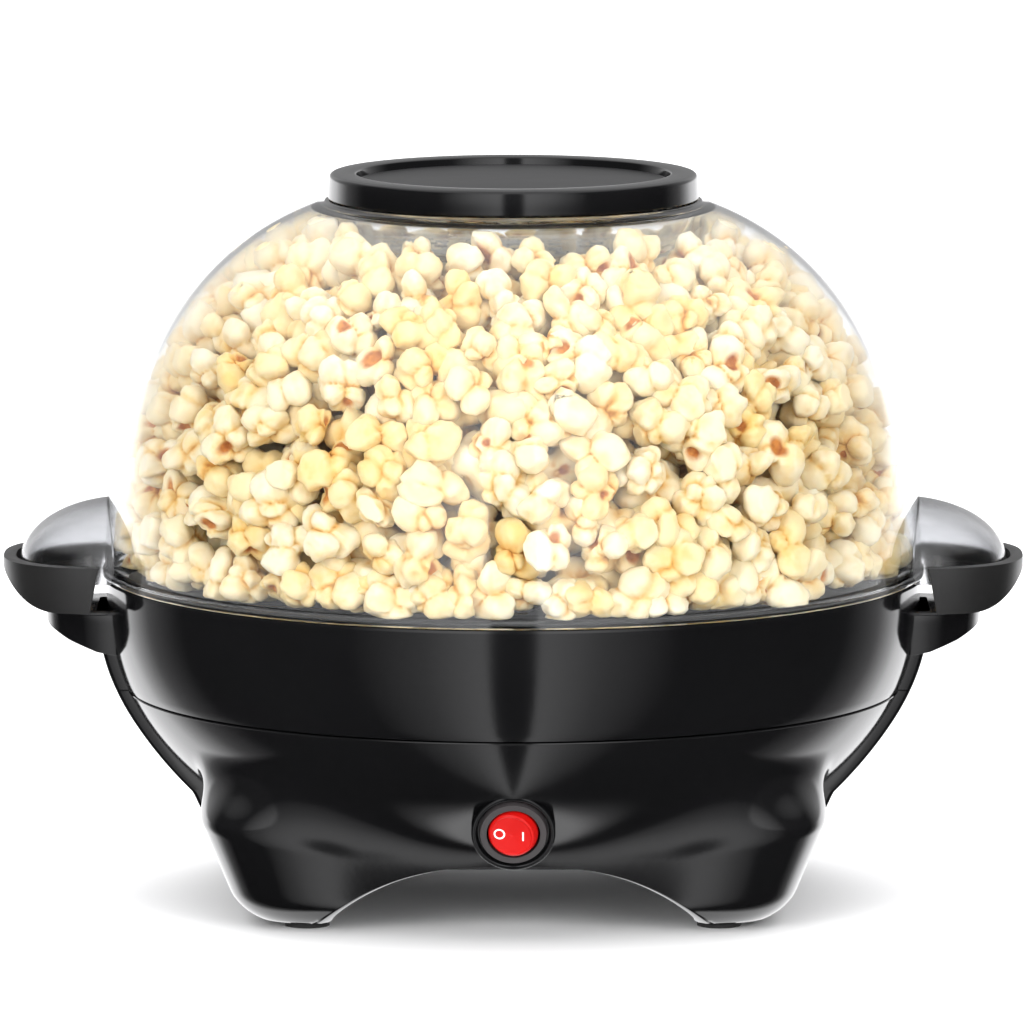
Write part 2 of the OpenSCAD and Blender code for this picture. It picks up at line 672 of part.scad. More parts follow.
// A wing: rounded hood over a U-shaped outline, higher at the dome wall
wing_root = 128;
wing_low = 111;
wing_tip = 167.6;
function wing_half(x, half, tip) = half
    * pow(max(0, 1 - pow((x - wing_root) / (tip - wing_root), 2.6)), 1 / 2.6);
function wing_rise(x, crown, end, tip) = end
    + crown * sqrt(max(0, 1 - pow((x - wing_root) / (tip - wing_root), 2.2)));
module wing_form(half, tip, crown, end, low) {
    nx = 14;
    ny = 14;
    xs = [for (i = [0:nx]) wing_root + (tip - wing_root - 0.05) * sin(90 * i / nx)];
    pts = [for (x = xs) for (j = [0:ny]) let(t = 180 * j / ny, y = -wing_half(x, half, tip) * cos(t))
        [x, y, low + 3 + (wing_rise(x, crown, end, tip) - 3) * pow(sin(t), 0.8)]];
    base = [for (x = xs) for (j = [0:ny]) let(t = 180 * j / ny) [x, -wing_half(x, half, tip) * cos(t), low]];
    w = ny + 1;
    o = len(pts);
    grid = [for (i = [0:nx - 1]) for (j = [0:ny - 1])
        [i * w + j, i * w + j + 1, (i + 1) * w + j + 1, (i + 1) * w + j]];
    polyhedron(points = concat(pts, base), convexity = 4, faces = concat(
        [for (g = grid) for (f = [[g[0], g[1], g[2]], [g[0], g[2], g[3]]]) f],
        [for (g = grid) for (f = [[o + g[0], o + g[2], o + g[1]], [o + g[0], o + g[3], o + g[2]]]) f],
        [for (i = [0:nx - 1])
            for (f = [[i * w, (i + 1) * w, o + (i + 1) * w], [i * w, o + (i + 1) * w, o + i * w]]) f],
        [for (i = [0:nx - 1]) let(a = i * w + ny, b = (i + 1) * w + ny)
            for (f = [[a, o + a, o + b], [a, o + b, b]]) f],
        [for (j = [0:ny - 1]) for (f = [[j, o + j, o + j + 1], [j, o + j + 1, j + 1]]) f],
        [for (j = [0:ny - 1]) let(a = nx * w + j)
            for (f = [[a, a + 1, o + a + 1], [a, o + a + 1, o + a]]) f]));
}
screw_tabs = [[146, 30.4], [146, -30.4]];
module wing_flange() {
    translate([0, 0, wing_low]) linear_extrude(2) polygon(u_outline(35, 168.4));
}
function u_outline(half, tip) = [for (i = [0:32]) let(t = 180 * i / 32, s = sin(t), c = cos(t))
    [130 + (tip - 130) * pow(s, 2 / 2.6), half * sign(c) * pow(abs(c), 2 / 2.6)]];
well_seam_r = 62.2;
module dome_moulding() {
    difference() {
        dome_mass();
        dome_hollow();
        well_hollow();
        for (r = [[0, 1], [14, 6], [28, 12], [42, 16]])
            at_angles([for (i = [0:r[1] - 1]) i * 360 / r[1]], r[0])
            translate([0, 0, 215]) cylinder(r = 1.6, h = 20, $fn = 24);
    }
}
module dome() {
    color(clear_smoke) difference() {
        dome_mass();
        dome_hollow();
        translate([0, 0, 200]) cylinder(r = well_seam_r, h = 60);
    }
}
module butter_well() {
    color(clear_smoke) intersection() {
        dome_moulding();
        translate([0, 0, 200]) cylinder(r = well_seam_r - 0.05, h = 60);
    }
}
module wing_right() {
    color(clear_smoke) difference() {
        union() {
            wing_form(34.5, wing_tip, 22, 3.6, wing_low);
            wing_flange();
        }
        wing_form(32, wing_tip - 2.4, 20.4, 3.2, wing_low - 0.5);
        dome_mass(0.05);
        for (p = screw_tabs) translate([p[0], p[1], 105]) cylinder(r = 1.2, h = 20);
    }
}
module wing_left() {
    rotate([0, 0, 180]) wing_right();
}

// Grip: a U-shaped band whose lower edge sweeps up to the tip, with a ledge under the wing's flange
grip_top = 117.2;
grip_low = 101.6;
grip_root = 139.5;
function grip_edge(x) = grip_low + 12.5 * pow(max(0, x - 152) / (grip_tip - 152), 2.6);
module grip_side() {
    n = 16;
    rotate([90, 0, 0]) linear_extrude(120, center = true) polygon(concat(
        [for (i = [0:n]) let(x = grip_root + 3 + (grip_tip - 2 - grip_root) * i / n)
            [x, grip_edge(min(x, grip_tip))]],
        [[grip_tip + 1, grip_top], [grip_root, grip_top]]));
}
module grip() {
    color(satin_black) difference() {
        intersection() {
            grip_side();
            difference() {
                linear_extrude(140) polygon(u_outline(grip_half, grip_tip));
                translate([0, 0, wing_low - 0.4]) linear_extrude(140) polygon(u_outline(35.4, 168.8));
                linear_extrude(140) polygon(u_outline(29, 162.6));
                translate([0, 0, 90]) linear_extrude(17) polygon(u_outline(35.6, 169));
                cylinder(r = 140, h = 140);
            }
        }
        for (p = screw_tabs) translate([p[0], p[1], 90]) cylinder(r = 1.5, h = 30);
    }
}
module grip_right() {
    grip();
}
module grip_left() {
    rotate([0, 0, 180]) grip();
}
module grip_screws() {
    color(steel) both_sides() for (p = screw_tabs) translate([p[0], p[1], 105]) screw(1.15, 2.3, 1.9, 5);
}

// Cap over the butter well
module vent_lid() {
    low = 238.5;
    color(gloss_black) difference() {
        rotate_extrude() polygon([[0, 235.6], [0, cap_top - 3], [cap_recess_r, cap_top - 3],
            [cap_recess_r + 0.3, cap_top - 0.5], [cap_recess_r + 0.9, cap_top], [cap_r - 1.9, cap_top],
            [cap_r - 1, cap_top - 0.3], [cap_r - 0.4, cap_top - 1], [cap_r, low], [59.6, low],
            [59.4, 235.6]]);
        translate([0, 0, 230]) cylinder(r = 56.8, h = cap_top - 5.4 - 230);
    }
}

lower_housing();
upper_housing();
bottom_cover();
cover_screws();
ring_screws();
foot_pads();
heating_plate();
heating_element();
element_clamps();
thermostat();
thermal_fuse();
heat_shield();
plate_posts();
post_nuts();
shaft_bushing();
seal_washer();
stirrer_shaft();
stirrer_hub();
stirring_rod();
hub_cap();
gear_case();
gear_case_cover();
gear_screws();
motor_can();
motor_rotor();
idler_gear();
output_gear();
switch_body();
switch_rocker();
switch_terminals();
terminal_block();
wires_live();
wires_neutral();
cord_gland();
dome();
butter_well();
wing_left();
wing_right();
grip_left();
grip_right();
grip_screws();
vent_lid();
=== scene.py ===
"""Looks of the stirring popcorn maker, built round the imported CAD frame. Metres, front faces -Y."""
import math
import random

import bmesh
import bpy
import numpy as np
from mathutils import Matrix, Vector


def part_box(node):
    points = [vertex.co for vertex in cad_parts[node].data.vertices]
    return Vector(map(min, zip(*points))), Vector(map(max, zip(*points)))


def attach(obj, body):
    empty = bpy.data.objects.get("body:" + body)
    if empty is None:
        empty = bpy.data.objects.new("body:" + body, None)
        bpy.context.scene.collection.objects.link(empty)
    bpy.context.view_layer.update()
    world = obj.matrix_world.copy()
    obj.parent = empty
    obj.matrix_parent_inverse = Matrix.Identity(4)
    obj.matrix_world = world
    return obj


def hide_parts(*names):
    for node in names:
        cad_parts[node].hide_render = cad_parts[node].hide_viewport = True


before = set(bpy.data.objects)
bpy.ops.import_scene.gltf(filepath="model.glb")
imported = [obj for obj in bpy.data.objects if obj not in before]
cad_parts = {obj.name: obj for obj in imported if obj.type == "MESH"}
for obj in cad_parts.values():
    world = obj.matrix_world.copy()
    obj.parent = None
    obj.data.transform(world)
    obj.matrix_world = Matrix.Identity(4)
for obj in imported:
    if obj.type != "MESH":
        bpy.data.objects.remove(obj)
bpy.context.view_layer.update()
MM = 0.001


def node_box(name):
    lo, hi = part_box(name)
    return lo / MM, hi / MM


# ---------------------------------------------------------------- sizes, in millimetres
RIM_R = 138.2                            # the base at its widest, below the rim
RIM_Z = 110.6
SEAM_Z = 72.6                            # between the lower housing and the upper ring
SEAM_GAP = 0.3
WALL = 2.6
ARCH_Z = 24.8                            # crown of the arch between two legs
FOOT_Z = 1.5
FOOT_X = 69
FOOT_Y = 63
LUG_TOP = 99.6
DOME_R = 138.6
DOME_BASE = 116.0
DOME_RISE = 128.3
DOME_WALL = 2.2
NECK_Z = 238.2
WELL_DEPTH = 15
GRIP_TIP = 173.0
GRIP_HALF = 40.0
GRIP_ROOT = 139.5
CAP_R = 62.8
CAP_TOP = node_box("vent_lid")[1].z
SWITCH_FACE = Vector((0, -113.5, 39.2))
GLAND_FACE = Vector((0, 118.5, 48))
WING_TIP = 167.6
SWITCH_TILT = math.radians(20)


# ---------------------------------------------------------------- mesh helpers
def link(mesh, name):
    obj = bpy.data.objects.new(name, mesh)
    bpy.context.scene.collection.objects.link(obj)
    return obj


def build(name, verts, faces, mat=None, smooth=None):
    """A mesh from points in millimetres; smooth is the angle in degrees under which edges shade smooth."""
    mesh = bpy.data.meshes.new(name)
    mesh.from_pydata([(x * MM, y * MM, z * MM) for x, y, z in verts], [], faces)
    mesh.validate()
    obj = link(mesh, name)
    tidy(obj)
    if mat:
        mesh.materials.append(mat)
    if smooth is not None:
        shade(obj, smooth)
    return obj


def tidy(obj):
    bm = bmesh.new()
    bm.from_mesh(obj.data)
    bmesh.ops.remove_doubles(bm, verts=bm.verts, dist=1e-7)
    bmesh.ops.dissolve_degenerate(bm, edges=bm.edges, dist=1e-8)
    bmesh.ops.recalc_face_normals(bm, faces=bm.faces)
    bm.to_mesh(obj.data)
    bm.free()


def shade(obj, angle):
    me = obj.data
    me.shade_smooth()
    me.set_sharp_from_angle(angle=math.radians(angle))


def revolve(name, profile, mat, n=192, smooth=35):
    """Turns a closed loop of (r, z) about the Z axis. Points on the axis become one vertex."""
    verts, rings = [], []
    for r, z in profile:
        if r < 1e-6:
            rings.append([len(verts)] * n)
            verts.append((0, 0, z))
        else:
            rings.append(list(range(len(verts), len(verts) + n)))
            turns = [2 * math.pi * i / n for i in range(n)]
            verts += [(r * math.cos(t), r * math.sin(t), z) for t in turns]
    faces = []
    m = len(profile)
    for j in range(m):
        a, b = rings[j], rings[(j + 1) % m]
        if a[0] == a[1] and b[0] == b[1]:
            continue
        for i in range(n):
            k = (i + 1) % n
            f = []
            for v in (a[i], a[k], b[k], b[i]):
                if v not in f:
                    f.append(v)
            if len(f) > 2:
                faces.append(f)
    return build(name, verts, faces, mat, smooth)


def rounded(points, radii, steps=5):
    """Rounds the corners of a closed loop of 2D points; radii gives one radius a corner."""
    out = []
    n = len(points)
    for i, p in enumerate(points):
        r = radii[i] if isinstance(radii, (list, tuple)) else radii
        a, b = Vector(points[i - 1]), Vector(points[(i + 1) % n])
        p = Vector(p)
        if r <= 0:
            out.append(tuple(p))
            continue
        da, db = (a - p), (b - p)
        t = min(r, da.length * 0.45, db.length * 0.45)
        pa, pb = p + da.normalized() * t, p + db.normalized() * t
        for s in range(steps + 1):
            u = s / steps
            q = pa * (1 - u) ** 2 + p * 2 * u * (1 - u) + pb * u * u
            out.append(tuple(q))
    return out


def prism(name, outline, low, high, plane="XY"):
    """A straight extrusion of a 2D outline. XY goes along Z; XZ goes along Y."""
    n = len(outline)
    if plane == "XY":
        verts = [(x, y, low) for x, y in outline] + [(x, y, high) for x, y in outline]
    else:
        verts = [(x, low, z) for x, z in outline] + [(x, high, z) for x, z in outline]
    faces = [list(range(n)), list(range(n, 2 * n))]
    faces += [[i, (i + 1) % n, n + (i + 1) % n, n + i] for i in range(n)]
    return build(name, verts, faces)


def combine(a, b, op):
    """a becomes the boolean of a and b; b is removed."""
    mod = a.modifiers.new("bool", "BOOLEAN")
    mod.operation = op
    mod.solver = "EXACT"
    mod.object = b
    apply_all(a)
    bpy.data.objects.remove(b, do_unlink=True)
    return a


def apply_all(obj):
    deps = bpy.context.evaluated_depsgraph_get()
    deps.update()
    mesh = bpy.data.meshes.new_from_object(obj.evaluated_get(deps))
    obj.modifiers.clear()
    old = obj.data
    obj.data = mesh
    bpy.data.meshes.remove(old)
    return obj


def bevel(obj, width, segments=3, angle=28):
    mod = obj.modifiers.new("bevel", "BEVEL")
    mod.width = width * MM
    mod.segments = segments
    mod.limit_method = "ANGLE"
    mod.angle_limit = math.radians(angle)
    mod.harden_normals = False
    apply_all(obj)
    return obj


def finish_piece(obj, body, mat, smooth=32, replaces=()):
    if mat:
        obj.data.materials.clear()
        obj.data.materials.append(mat)
    shade(obj, smooth)
    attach(obj, body)
    if replaces:
        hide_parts(*replaces)
    return obj


def turned(obj, name):
    """A copy turned half round the Z axis, for the left side."""
    mesh = obj.data.copy()
    mesh.transform(Matrix.Rotation(math.pi, 4, "Z"))
    return link(mesh, name)


# ---------------------------------------------------------------- materials
def new_material(name):
    mat = bpy.data.materials.new(name)
    mat.use_nodes = True
    nt = mat.node_tree
    bsdf = nt.nodes["Principled BSDF"]
    return mat, nt, bsdf


def texture_at(nt, kind, scale, **inputs):
    co = nt.nodes.new("ShaderNodeTexCoord")
    tex = nt.nodes.new(kind)
    nt.links.new(co.outputs["Object"], tex.inputs["Vector"])
    tex.inputs["Scale"].default_value = scale
    for k, v in inputs.items():
        tex.inputs[k].default_value = v
    return tex


def ramp(nt, source, stops):
    node = nt.nodes.new("ShaderNodeValToRGB")
    nt.links.new(source, node.inputs["Fac"])
    els = node.color_ramp.elements
    while len(els) < len(stops):
        els.new(0.5)
    for el, (pos, col) in zip(els, stops):
        el.position = pos
        el.color = col if len(col) == 4 else (*col, 1)
    return node.outputs["Color"]


def spread(nt, source, lo, hi, a=0.3, b=0.7):
    node = nt.nodes.new("ShaderNodeMapRange")
    node.inputs["From Min"].default_value = a
    node.inputs["From Max"].default_value = b
    node.inputs["To Min"].default_value = lo
    node.inputs["To Max"].default_value = hi
    nt.links.new(source, node.inputs["Value"])
    return node.outputs["Result"]


def add_bump(nt, bsdf, source, strength, distance):
    bump = nt.nodes.new("ShaderNodeBump")
    bump.inputs["Strength"].default_value = strength
    bump.inputs["Distance"].default_value = distance
    nt.links.new(source, bump.inputs["Height"])
    nt.links.new(bump.outputs["Normal"], bsdf.inputs["Normal"])
    return bump


def plastic(name, colour, rough, rough_far, bump=0.05, grain=900, wear=1.25, level=0.5):
    """Moulded plastic: fine grain, slow roughness variation and slightly lighter worn patches."""
    mat, nt, bsdf = new_material(name)
    slow = texture_at(nt, "ShaderNodeTexNoise", 14, Detail=6, Roughness=0.6)
    fine = texture_at(nt, "ShaderNodeTexNoise", grain, Detail=3, Roughness=0.6)
    lo = tuple(c * 0.85 for c in colour)
    hi = tuple(c * wear for c in colour)
    nt.links.new(ramp(nt, slow.outputs["Fac"], [(0.3, lo), (0.7, hi)]), bsdf.inputs["Base Color"])
    nt.links.new(spread(nt, slow.outputs["Fac"], rough, rough_far), bsdf.inputs["Roughness"])
    add_bump(nt, bsdf, fine.outputs["Fac"], bump, 0.0002)
    bsdf.inputs["Specular IOR Level"].default_value = level
    return mat


def metal(name, colour, rough, rough_far, scale=(60, 60, 900), bump=0.05):
    """Drawn or brushed metal with streaks along one direction."""
    mat, nt, bsdf = new_material(name)
    co = nt.nodes.new("ShaderNodeTexCoord")
    mp = nt.nodes.new("ShaderNodeMapping")
    mp.inputs["Scale"].default_value = scale
    tex = nt.nodes.new("ShaderNodeTexNoise")
    tex.inputs["Detail"].default_value = 4
    tex.inputs["Scale"].default_value = 1.0
    nt.links.new(co.outputs["Object"], mp.inputs["Vector"])
    nt.links.new(mp.outputs["Vector"], tex.inputs["Vector"])
    nt.links.new(ramp(nt, tex.outputs["Fac"], [(0.3, tuple(c * 0.85 for c in colour)), (0.7, colour)]),
                 bsdf.inputs["Base Color"])
    nt.links.new(spread(nt, tex.outputs["Fac"], rough, rough_far), bsdf.inputs["Roughness"])
    bsdf.inputs["Metallic"].default_value = 1.0
    add_bump(nt, bsdf, tex.outputs["Fac"], bump, 0.0001)
    return mat


def clear_plastic(name, tint, rough_lo=0.012, rough_hi=0.05, bump=0.02):
    """Clear moulded plastic. Shadow rays pass, so that lamps reach what is inside."""
    mat, nt, bsdf = new_material(name)
    bsdf.inputs["Base Color"].default_value = (*tint, 1)
    bsdf.inputs["Transmission Weight"].default_value = 1.0
    bsdf.inputs["IOR"].default_value = 1.49
    slow = texture_at(nt, "ShaderNodeTexNoise", 30, Detail=5, Roughness=0.6)
    nt.links.new(spread(nt, slow.outputs["Fac"], rough_lo, rough_hi), bsdf.inputs["Roughness"])
    wave = texture_at(nt, "ShaderNodeTexNoise", 22, Detail=1)
    add_bump(nt, bsdf, wave.outputs["Fac"], bump, 0.002)
    out = nt.nodes["Material Output"]
    path = nt.nodes.new("ShaderNodeLightPath")
    see = nt.nodes.new("ShaderNodeBsdfTransparent")
    see.inputs["Color"].default_value = (0.95, 0.955, 0.96, 1)
    mix = nt.nodes.new("ShaderNodeMixShader")
    nt.links.new(path.outputs["Is Shadow Ray"], mix.inputs["Fac"])
    nt.links.new(bsdf.outputs["BSDF"], mix.inputs[1])
    nt.links.new(see.outputs["BSDF"], mix.inputs[2])
    nt.links.new(mix.outputs["Shader"], out.inputs["Surface"])
    return mat


def popcorn_material(name):
    """Popped corn: cream lobes, yellow in the creases, darkening to brown in the deepest creases and recesses
    as painted shade, brown hull where the flake opened.
    """
    mat, nt, bsdf = new_material(name)
    fold = nt.nodes.new("ShaderNodeAttribute")
    fold.attribute_name = "fold"
    hull = nt.nodes.new("ShaderNodeAttribute")
    hull.attribute_name = "hull"
    tone = nt.nodes.new("ShaderNodeAttribute")
    tone.attribute_name = "tone"
    speck = texture_at(nt, "ShaderNodeTexNoise", 260, Detail=5, Roughness=0.7)
    # the attribute is low in creases and recesses: yellow there is the corn's own colour, the dark brown at
    # its low end is painted shade
    body = ramp(nt, fold.outputs["Fac"], [(0.0, (0.46, 0.20, 0.04)), (0.2, (0.72, 0.44, 0.15)),
                                          (0.45, (0.80, 0.64, 0.36)), (0.85, (0.84, 0.76, 0.57))])
    patch = texture_at(nt, "ShaderNodeTexNoise", 95, Detail=4, Roughness=0.6)
    yellow = nt.nodes.new("ShaderNodeMix")
    yellow.data_type = "RGBA"
    nt.links.new(spread(nt, patch.outputs["Fac"], 0.0, 0.6, 0.5, 0.74), yellow.inputs["Factor"])
    nt.links.new(body, yellow.inputs[6])
    yellow.inputs[7].default_value = (0.80, 0.56, 0.17, 1)
    warm = nt.nodes.new("ShaderNodeMix")
    warm.data_type = "RGBA"
    warm.blend_type = "MULTIPLY"
    nt.links.new(tone.outputs["Fac"], warm.inputs["Factor"])
    nt.links.new(yellow.outputs[2], warm.inputs[6])
    warm.inputs[7].default_value = (0.98, 0.86, 0.58, 1)
    shell = ramp(nt, speck.outputs["Fac"], [(0.35, (0.30, 0.07, 0.012)), (0.65, (0.66, 0.27, 0.06))])
    mask = nt.nodes.new("ShaderNodeMapRange")
    mask.inputs["From Min"].default_value = 0.40
    mask.inputs["From Max"].default_value = 0.62
    nt.links.new(hull.outputs["Fac"], mask.inputs["Value"])
    mix = nt.nodes.new("ShaderNodeMix")
    mix.data_type = "RGBA"
    nt.links.new(mask.outputs["Result"], mix.inputs["Factor"])
    nt.links.new(warm.outputs[2], mix.inputs[6])
    nt.links.new(shell, mix.inputs[7])
    nt.links.new(mix.outputs[2], bsdf.inputs["Base Color"])
    nt.links.new(spread(nt, speck.outputs["Fac"], 0.45, 0.75), bsdf.inputs["Roughness"])
    bsdf.inputs["Subsurface Weight"].default_value = 0.25
    bsdf.inputs["Subsurface Radius"].default_value = (1.0, 0.7, 0.4)
    bsdf.inputs["Subsurface Scale"].default_value = 0.0015
    add_bump(nt, bsdf, speck.outputs["Fac"], 0.35, 0.0006)
    return mat


GLOSS = plastic("gloss_black_plastic", (0.003, 0.003, 0.0033), 0.07, 0.13, bump=0.02, grain=500, level=0.42)
LID_TOP = plastic("cap_black_plastic", (0.003, 0.003, 0.0033), 0.08, 0.14, bump=0.02, grain=700, level=0.42)
DISC = plastic("cap_disc_plastic", (0.008, 0.008, 0.0085), 0.30, 0.40, bump=0.08, grain=1400, level=0.4)
SATIN = plastic("satin_black_plastic", (0.008, 0.0078, 0.0078), 0.34, 0.46, bump=0.16, grain=2200, level=0.45)
BEZEL = plastic("switch_bezel_plastic", (0.035, 0.031, 0.032), 0.38, 0.5, bump=0.12, grain=2600, level=0.5)
UNDER = plastic("underside_plastic", (0.02, 0.02, 0.021), 0.5, 0.62, bump=0.2, grain=1600, level=0.4)
RUBBER = plastic("rubber_pad", (0.03, 0.03, 0.03), 0.75, 0.9, bump=0.35, grain=1800, level=0.3)
NYLON = plastic("natural_nylon", (0.78, 0.76, 0.68), 0.35, 0.5, bump=0.1, grain=1200)
RED = plastic("red_rocker_plastic", (0.46, 0.004, 0.003), 0.26, 0.38, bump=0.05, grain=1500, wear=1.08,
              level=0.25)
WHITE_INK = plastic("white_ink", (0.86, 0.85, 0.84), 0.4, 0.55, bump=0.05, grain=3000, wear=1.03)
BROWN_WIRE = plastic("brown_insulation", (0.25, 0.09, 0.03), 0.4, 0.55, bump=0.1)
BLUE_WIRE = plastic("blue_insulation", (0.05, 0.13, 0.5), 0.4, 0.55, bump=0.1)
STEEL = metal("zinc_steel", (0.62, 0.62, 0.6), 0.28, 0.42)
POLISHED = metal("polished_steel", (0.78, 0.78, 0.79), 0.08, 0.18, bump=0.02)
BRASS = metal("brass", (0.78, 0.56, 0.24), 0.22, 0.36)
COATED = plastic("nonstick_coating", (0.035, 0.035, 0.037), 0.3, 0.46, bump=0.3, grain=1500, wear=1.6)
CLEAR = clear_plastic("clear_dome_plastic", (0.965, 0.975, 0.985))
SMOKE = clear_plastic("clear_wing_plastic", (0.62, 0.625, 0.64), 0.05, 0.12, bump=0.04)
CORN = popcorn_material("popped_corn")
# the heap stands for corn deeper in the pile; its tan, far darker than the flakes, is painted shade
HEAP_PAINTED_SHADE = plastic("popcorn_heap_painted_shade", (0.50, 0.29, 0.12), 0.6, 0.8, bump=0.5, grain=300, wear=1.35, level=0.2)

NODE_LOOKS = {
    "bottom_cover": UNDER, "cover_screws": STEEL, "ring_screws": STEEL, "foot_pads": RUBBER,
    "heating_plate": COATED, "heating_element": STEEL, "element_clamps": STEEL, "thermostat": BRASS,
    "thermal_fuse": NYLON, "heat_shield": STEEL, "plate_posts": STEEL, "post_nuts": STEEL,
    "shaft_bushing": BRASS, "seal_washer": RUBBER, "stirrer_shaft": POLISHED, "stirrer_hub": SATIN,
    "stirring_rod": POLISHED, "hub_cap": POLISHED, "gear_case": SATIN, "gear_case_cover": STEEL,
    "gear_screws": STEEL, "motor_can": STEEL, "motor_rotor": BRASS, "idler_gear": NYLON,
    "output_gear": NYLON, "switch_body": BEZEL, "switch_rocker": RED, "switch_terminals": BRASS,
    "terminal_block": NYLON, "wires_live": BROWN_WIRE, "wires_neutral": BLUE_WIRE,
    "cord_gland": SATIN, "grip_screws": STEEL, "lower_housing": GLOSS, "upper_housing": GLOSS,
    "dome": CLEAR, "butter_well": CLEAR, "wing_left": CLEAR, "wing_right": CLEAR,
    "grip_left": SATIN, "grip_right": SATIN, "vent_lid": LID_TOP,
}
for node_name, look in NODE_LOOKS.items():
    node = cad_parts[node_name]
    if node.data.materials:
        for index in range(len(node.data.materials)):
            node.data.materials[index] = look
    else:
        node.data.materials.append(look)


# ---------------------------------------------------------------- lower housing
def smooth(t):
    t = min(1.0, max(0.0, t))
    return t * t * (3 - 2 * t)


def bowl(z):
    return RIM_R * (1 - (max(0.0, 108 - z) / 117.4) ** 2.4) ** (1 / 1.175)


def tuck(z):
    return 0 if z >= 12 else 12 - math.sqrt(144 - (12 - max(z, 0.5)) ** 2)


def half_x(z):
    return 91.2 + 0.375 * z - tuck(z)


def half_y(z):
    return 79.5 + 0.5 * z - tuck(z)


def skirt(a, z):
    return ((abs(math.cos(a)) / half_x(z)) ** 8 + (abs(math.sin(a)) / half_y(z)) ** 8) ** (-1 / 8)


def fold_angle(a):
    b = abs(math.degrees(a)) % 180
    return 180 - b if b > 90 else b


def fade(a, z):
    rise, fall = smooth((fold_angle(a) - 12) / 20), smooth((fold_angle(a) - 38) / 24)
    low, top = 28.5 + 6 * rise - 7.5 * fall, 35 + 25 * rise + 6 * fall
    return 1 - smooth((z - low) / (top - low))


def shell(a, z):
    e = skirt(a, z) - bowl(z)
    return bowl(z) + fade(a, z) * (e + math.sqrt(e * e + 49)) / 2


def arch(u, half):
    return FOOT_Z + (0 if u >= half else (ARCH_Z - FOOT_Z) * (1 - (u / half) ** 2.6))


def low_edge(a):
    b = fold_angle(a)
    side = b < 42
    t = math.tan(math.radians(b if side else 90 - b))
    reach, half = (half_x, 57) if side else (half_y, 67)
    d = reach(15)
    for _ in range(6):
        d = (d + reach(arch(d * t, half))) / 2
    return arch(d * t, half)


def lower_housing():
    n, lows, ups = 384, 22, 66
    top = SEAM_Z - SEAM_GAP
    verts = []
    angles = [2 * math.pi * i / n for i in range(n)]
    edge = [low_edge(a) for a in angles]
    zrows = []
    for j in range(lows + ups + 1):
        if j <= lows:
            u = (j / lows) ** 1.2
            zrows.append([e + (30 - e) * u for e in edge])
        else:
            zrows.append([30 + (top - 30) * (j - lows) / ups] * n)
    lip = 1.0

    def ring(j, inset):
        out = []
        for i, a in enumerate(angles):
            z = zrows[j][i]
            lean = (shell(a, z + 1) - shell(a, z - 1)) / 2
            k = min(2.2, math.sqrt(1 + lean * lean))
            r = shell(a, z) - inset * k
            out.append((r * math.cos(a), r * math.sin(a), z))
        return out

    # round the lower and upper rims a little: the edge rows are inset
    rows = []
    first = ring(0, 0.9)
    rows.append(first)
    near = [(x, y, z) for x, y, z in ring(0, 0.25)]
    rows.append([(x, y, z + 0.25) for x, y, z in near])
    rows.append([(x, y, z + 0.9) for x, y, z in ring(0, 0.0)])
    for j in range(1, lows + ups):
        rows.append(ring(j, 0))
    last = lows + ups
    rows.append([(x, y, z - 0.5) for x, y, z in ring(last, 0.0)])
    rows.append([(x, y, z - 0.12) for x, y, z in ring(last, 0.12)])
    rows.append(ring(last, 0.5))
    rows.append(ring(last, WALL))
    for j in range(lows + ups - 1, 0, -1):
        rows.append(ring(j, WALL))
    rows.append(ring(0, WALL))
    faces = []
    m = len(rows)
    for row in rows:
        verts += row
    for j in range(m):
        for i in range(n):
            k = (i + 1) % n
            b = (j + 1) % m
            faces.append((j * n + i, j * n + k, b * n + k, b * n + i))
    obj = build("lower_shell", verts, faces)
    # holes for the switch and the rear inlet, with a ring round each, which is its own clean solid
    axis = Matrix.Translation(SWITCH_FACE * MM) @ Matrix.Rotation(math.pi / 2 + SWITCH_TILT, 4, "X")
    hole = revolve("cut", [(0, -60), (12.1, -60), (12.1, 6), (0, 6)], None, n=96)
    hole.data.transform(axis)
    combine(obj, hole, "DIFFERENCE")
    rear = Matrix.Translation(GLAND_FACE * MM) @ Matrix.Rotation(-math.pi / 2, 4, "X")
    hole = revolve("cut", [(0, -60), (8.6, -60), (8.6, 6), (0, 6)], None, n=64)
    hole.data.transform(rear)
    combine(obj, hole, "DIFFERENCE")
    outline = rounded([(10.2, -22), (13.9, -22), (13.9, 0), (12.3, 0), (11.85, -1.6), (10.2, -1.6)],
                      [0, 0, 1.1, 0.5, 0.2, 0])
    collar = revolve("collar", outline, None, n=128)
    collar.data.transform(axis)
    outline = rounded([(6.2, -20), (9.5, -20), (9.5, 0), (6.2, 0)], [0, 0, 0.8, 0.3])
    boss = revolve("boss", outline, None, n=96)
    boss.data.transform(rear)
    finish_piece(collar, "base", GLOSS, 35)
    collar.name = "switch_collar"
    finish_piece(boss, "base", GLOSS, 35)
    boss.name = "inlet_boss"
    finish_piece(obj, "base", GLOSS, 38, replaces=["lower_housing"])
    for sx in (-1, 1):
        for sy in (-1, 1):
            outline = rounded([(0, FOOT_Z), (8.5, FOOT_Z), (8.3, 27), (0, 27)], [0, 0.8, 0.3, 0])
            name = f"foot_post_{'r' if sx > 0 else 'l'}{'f' if sy < 0 else 'b'}"
            post = revolve(name, outline, GLOSS, n=64)
            post.data.transform(Matrix.Translation(Vector((sx * FOOT_X, sy * FOOT_Y, 0)) * MM))
            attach(post, "base")


lower_housing()


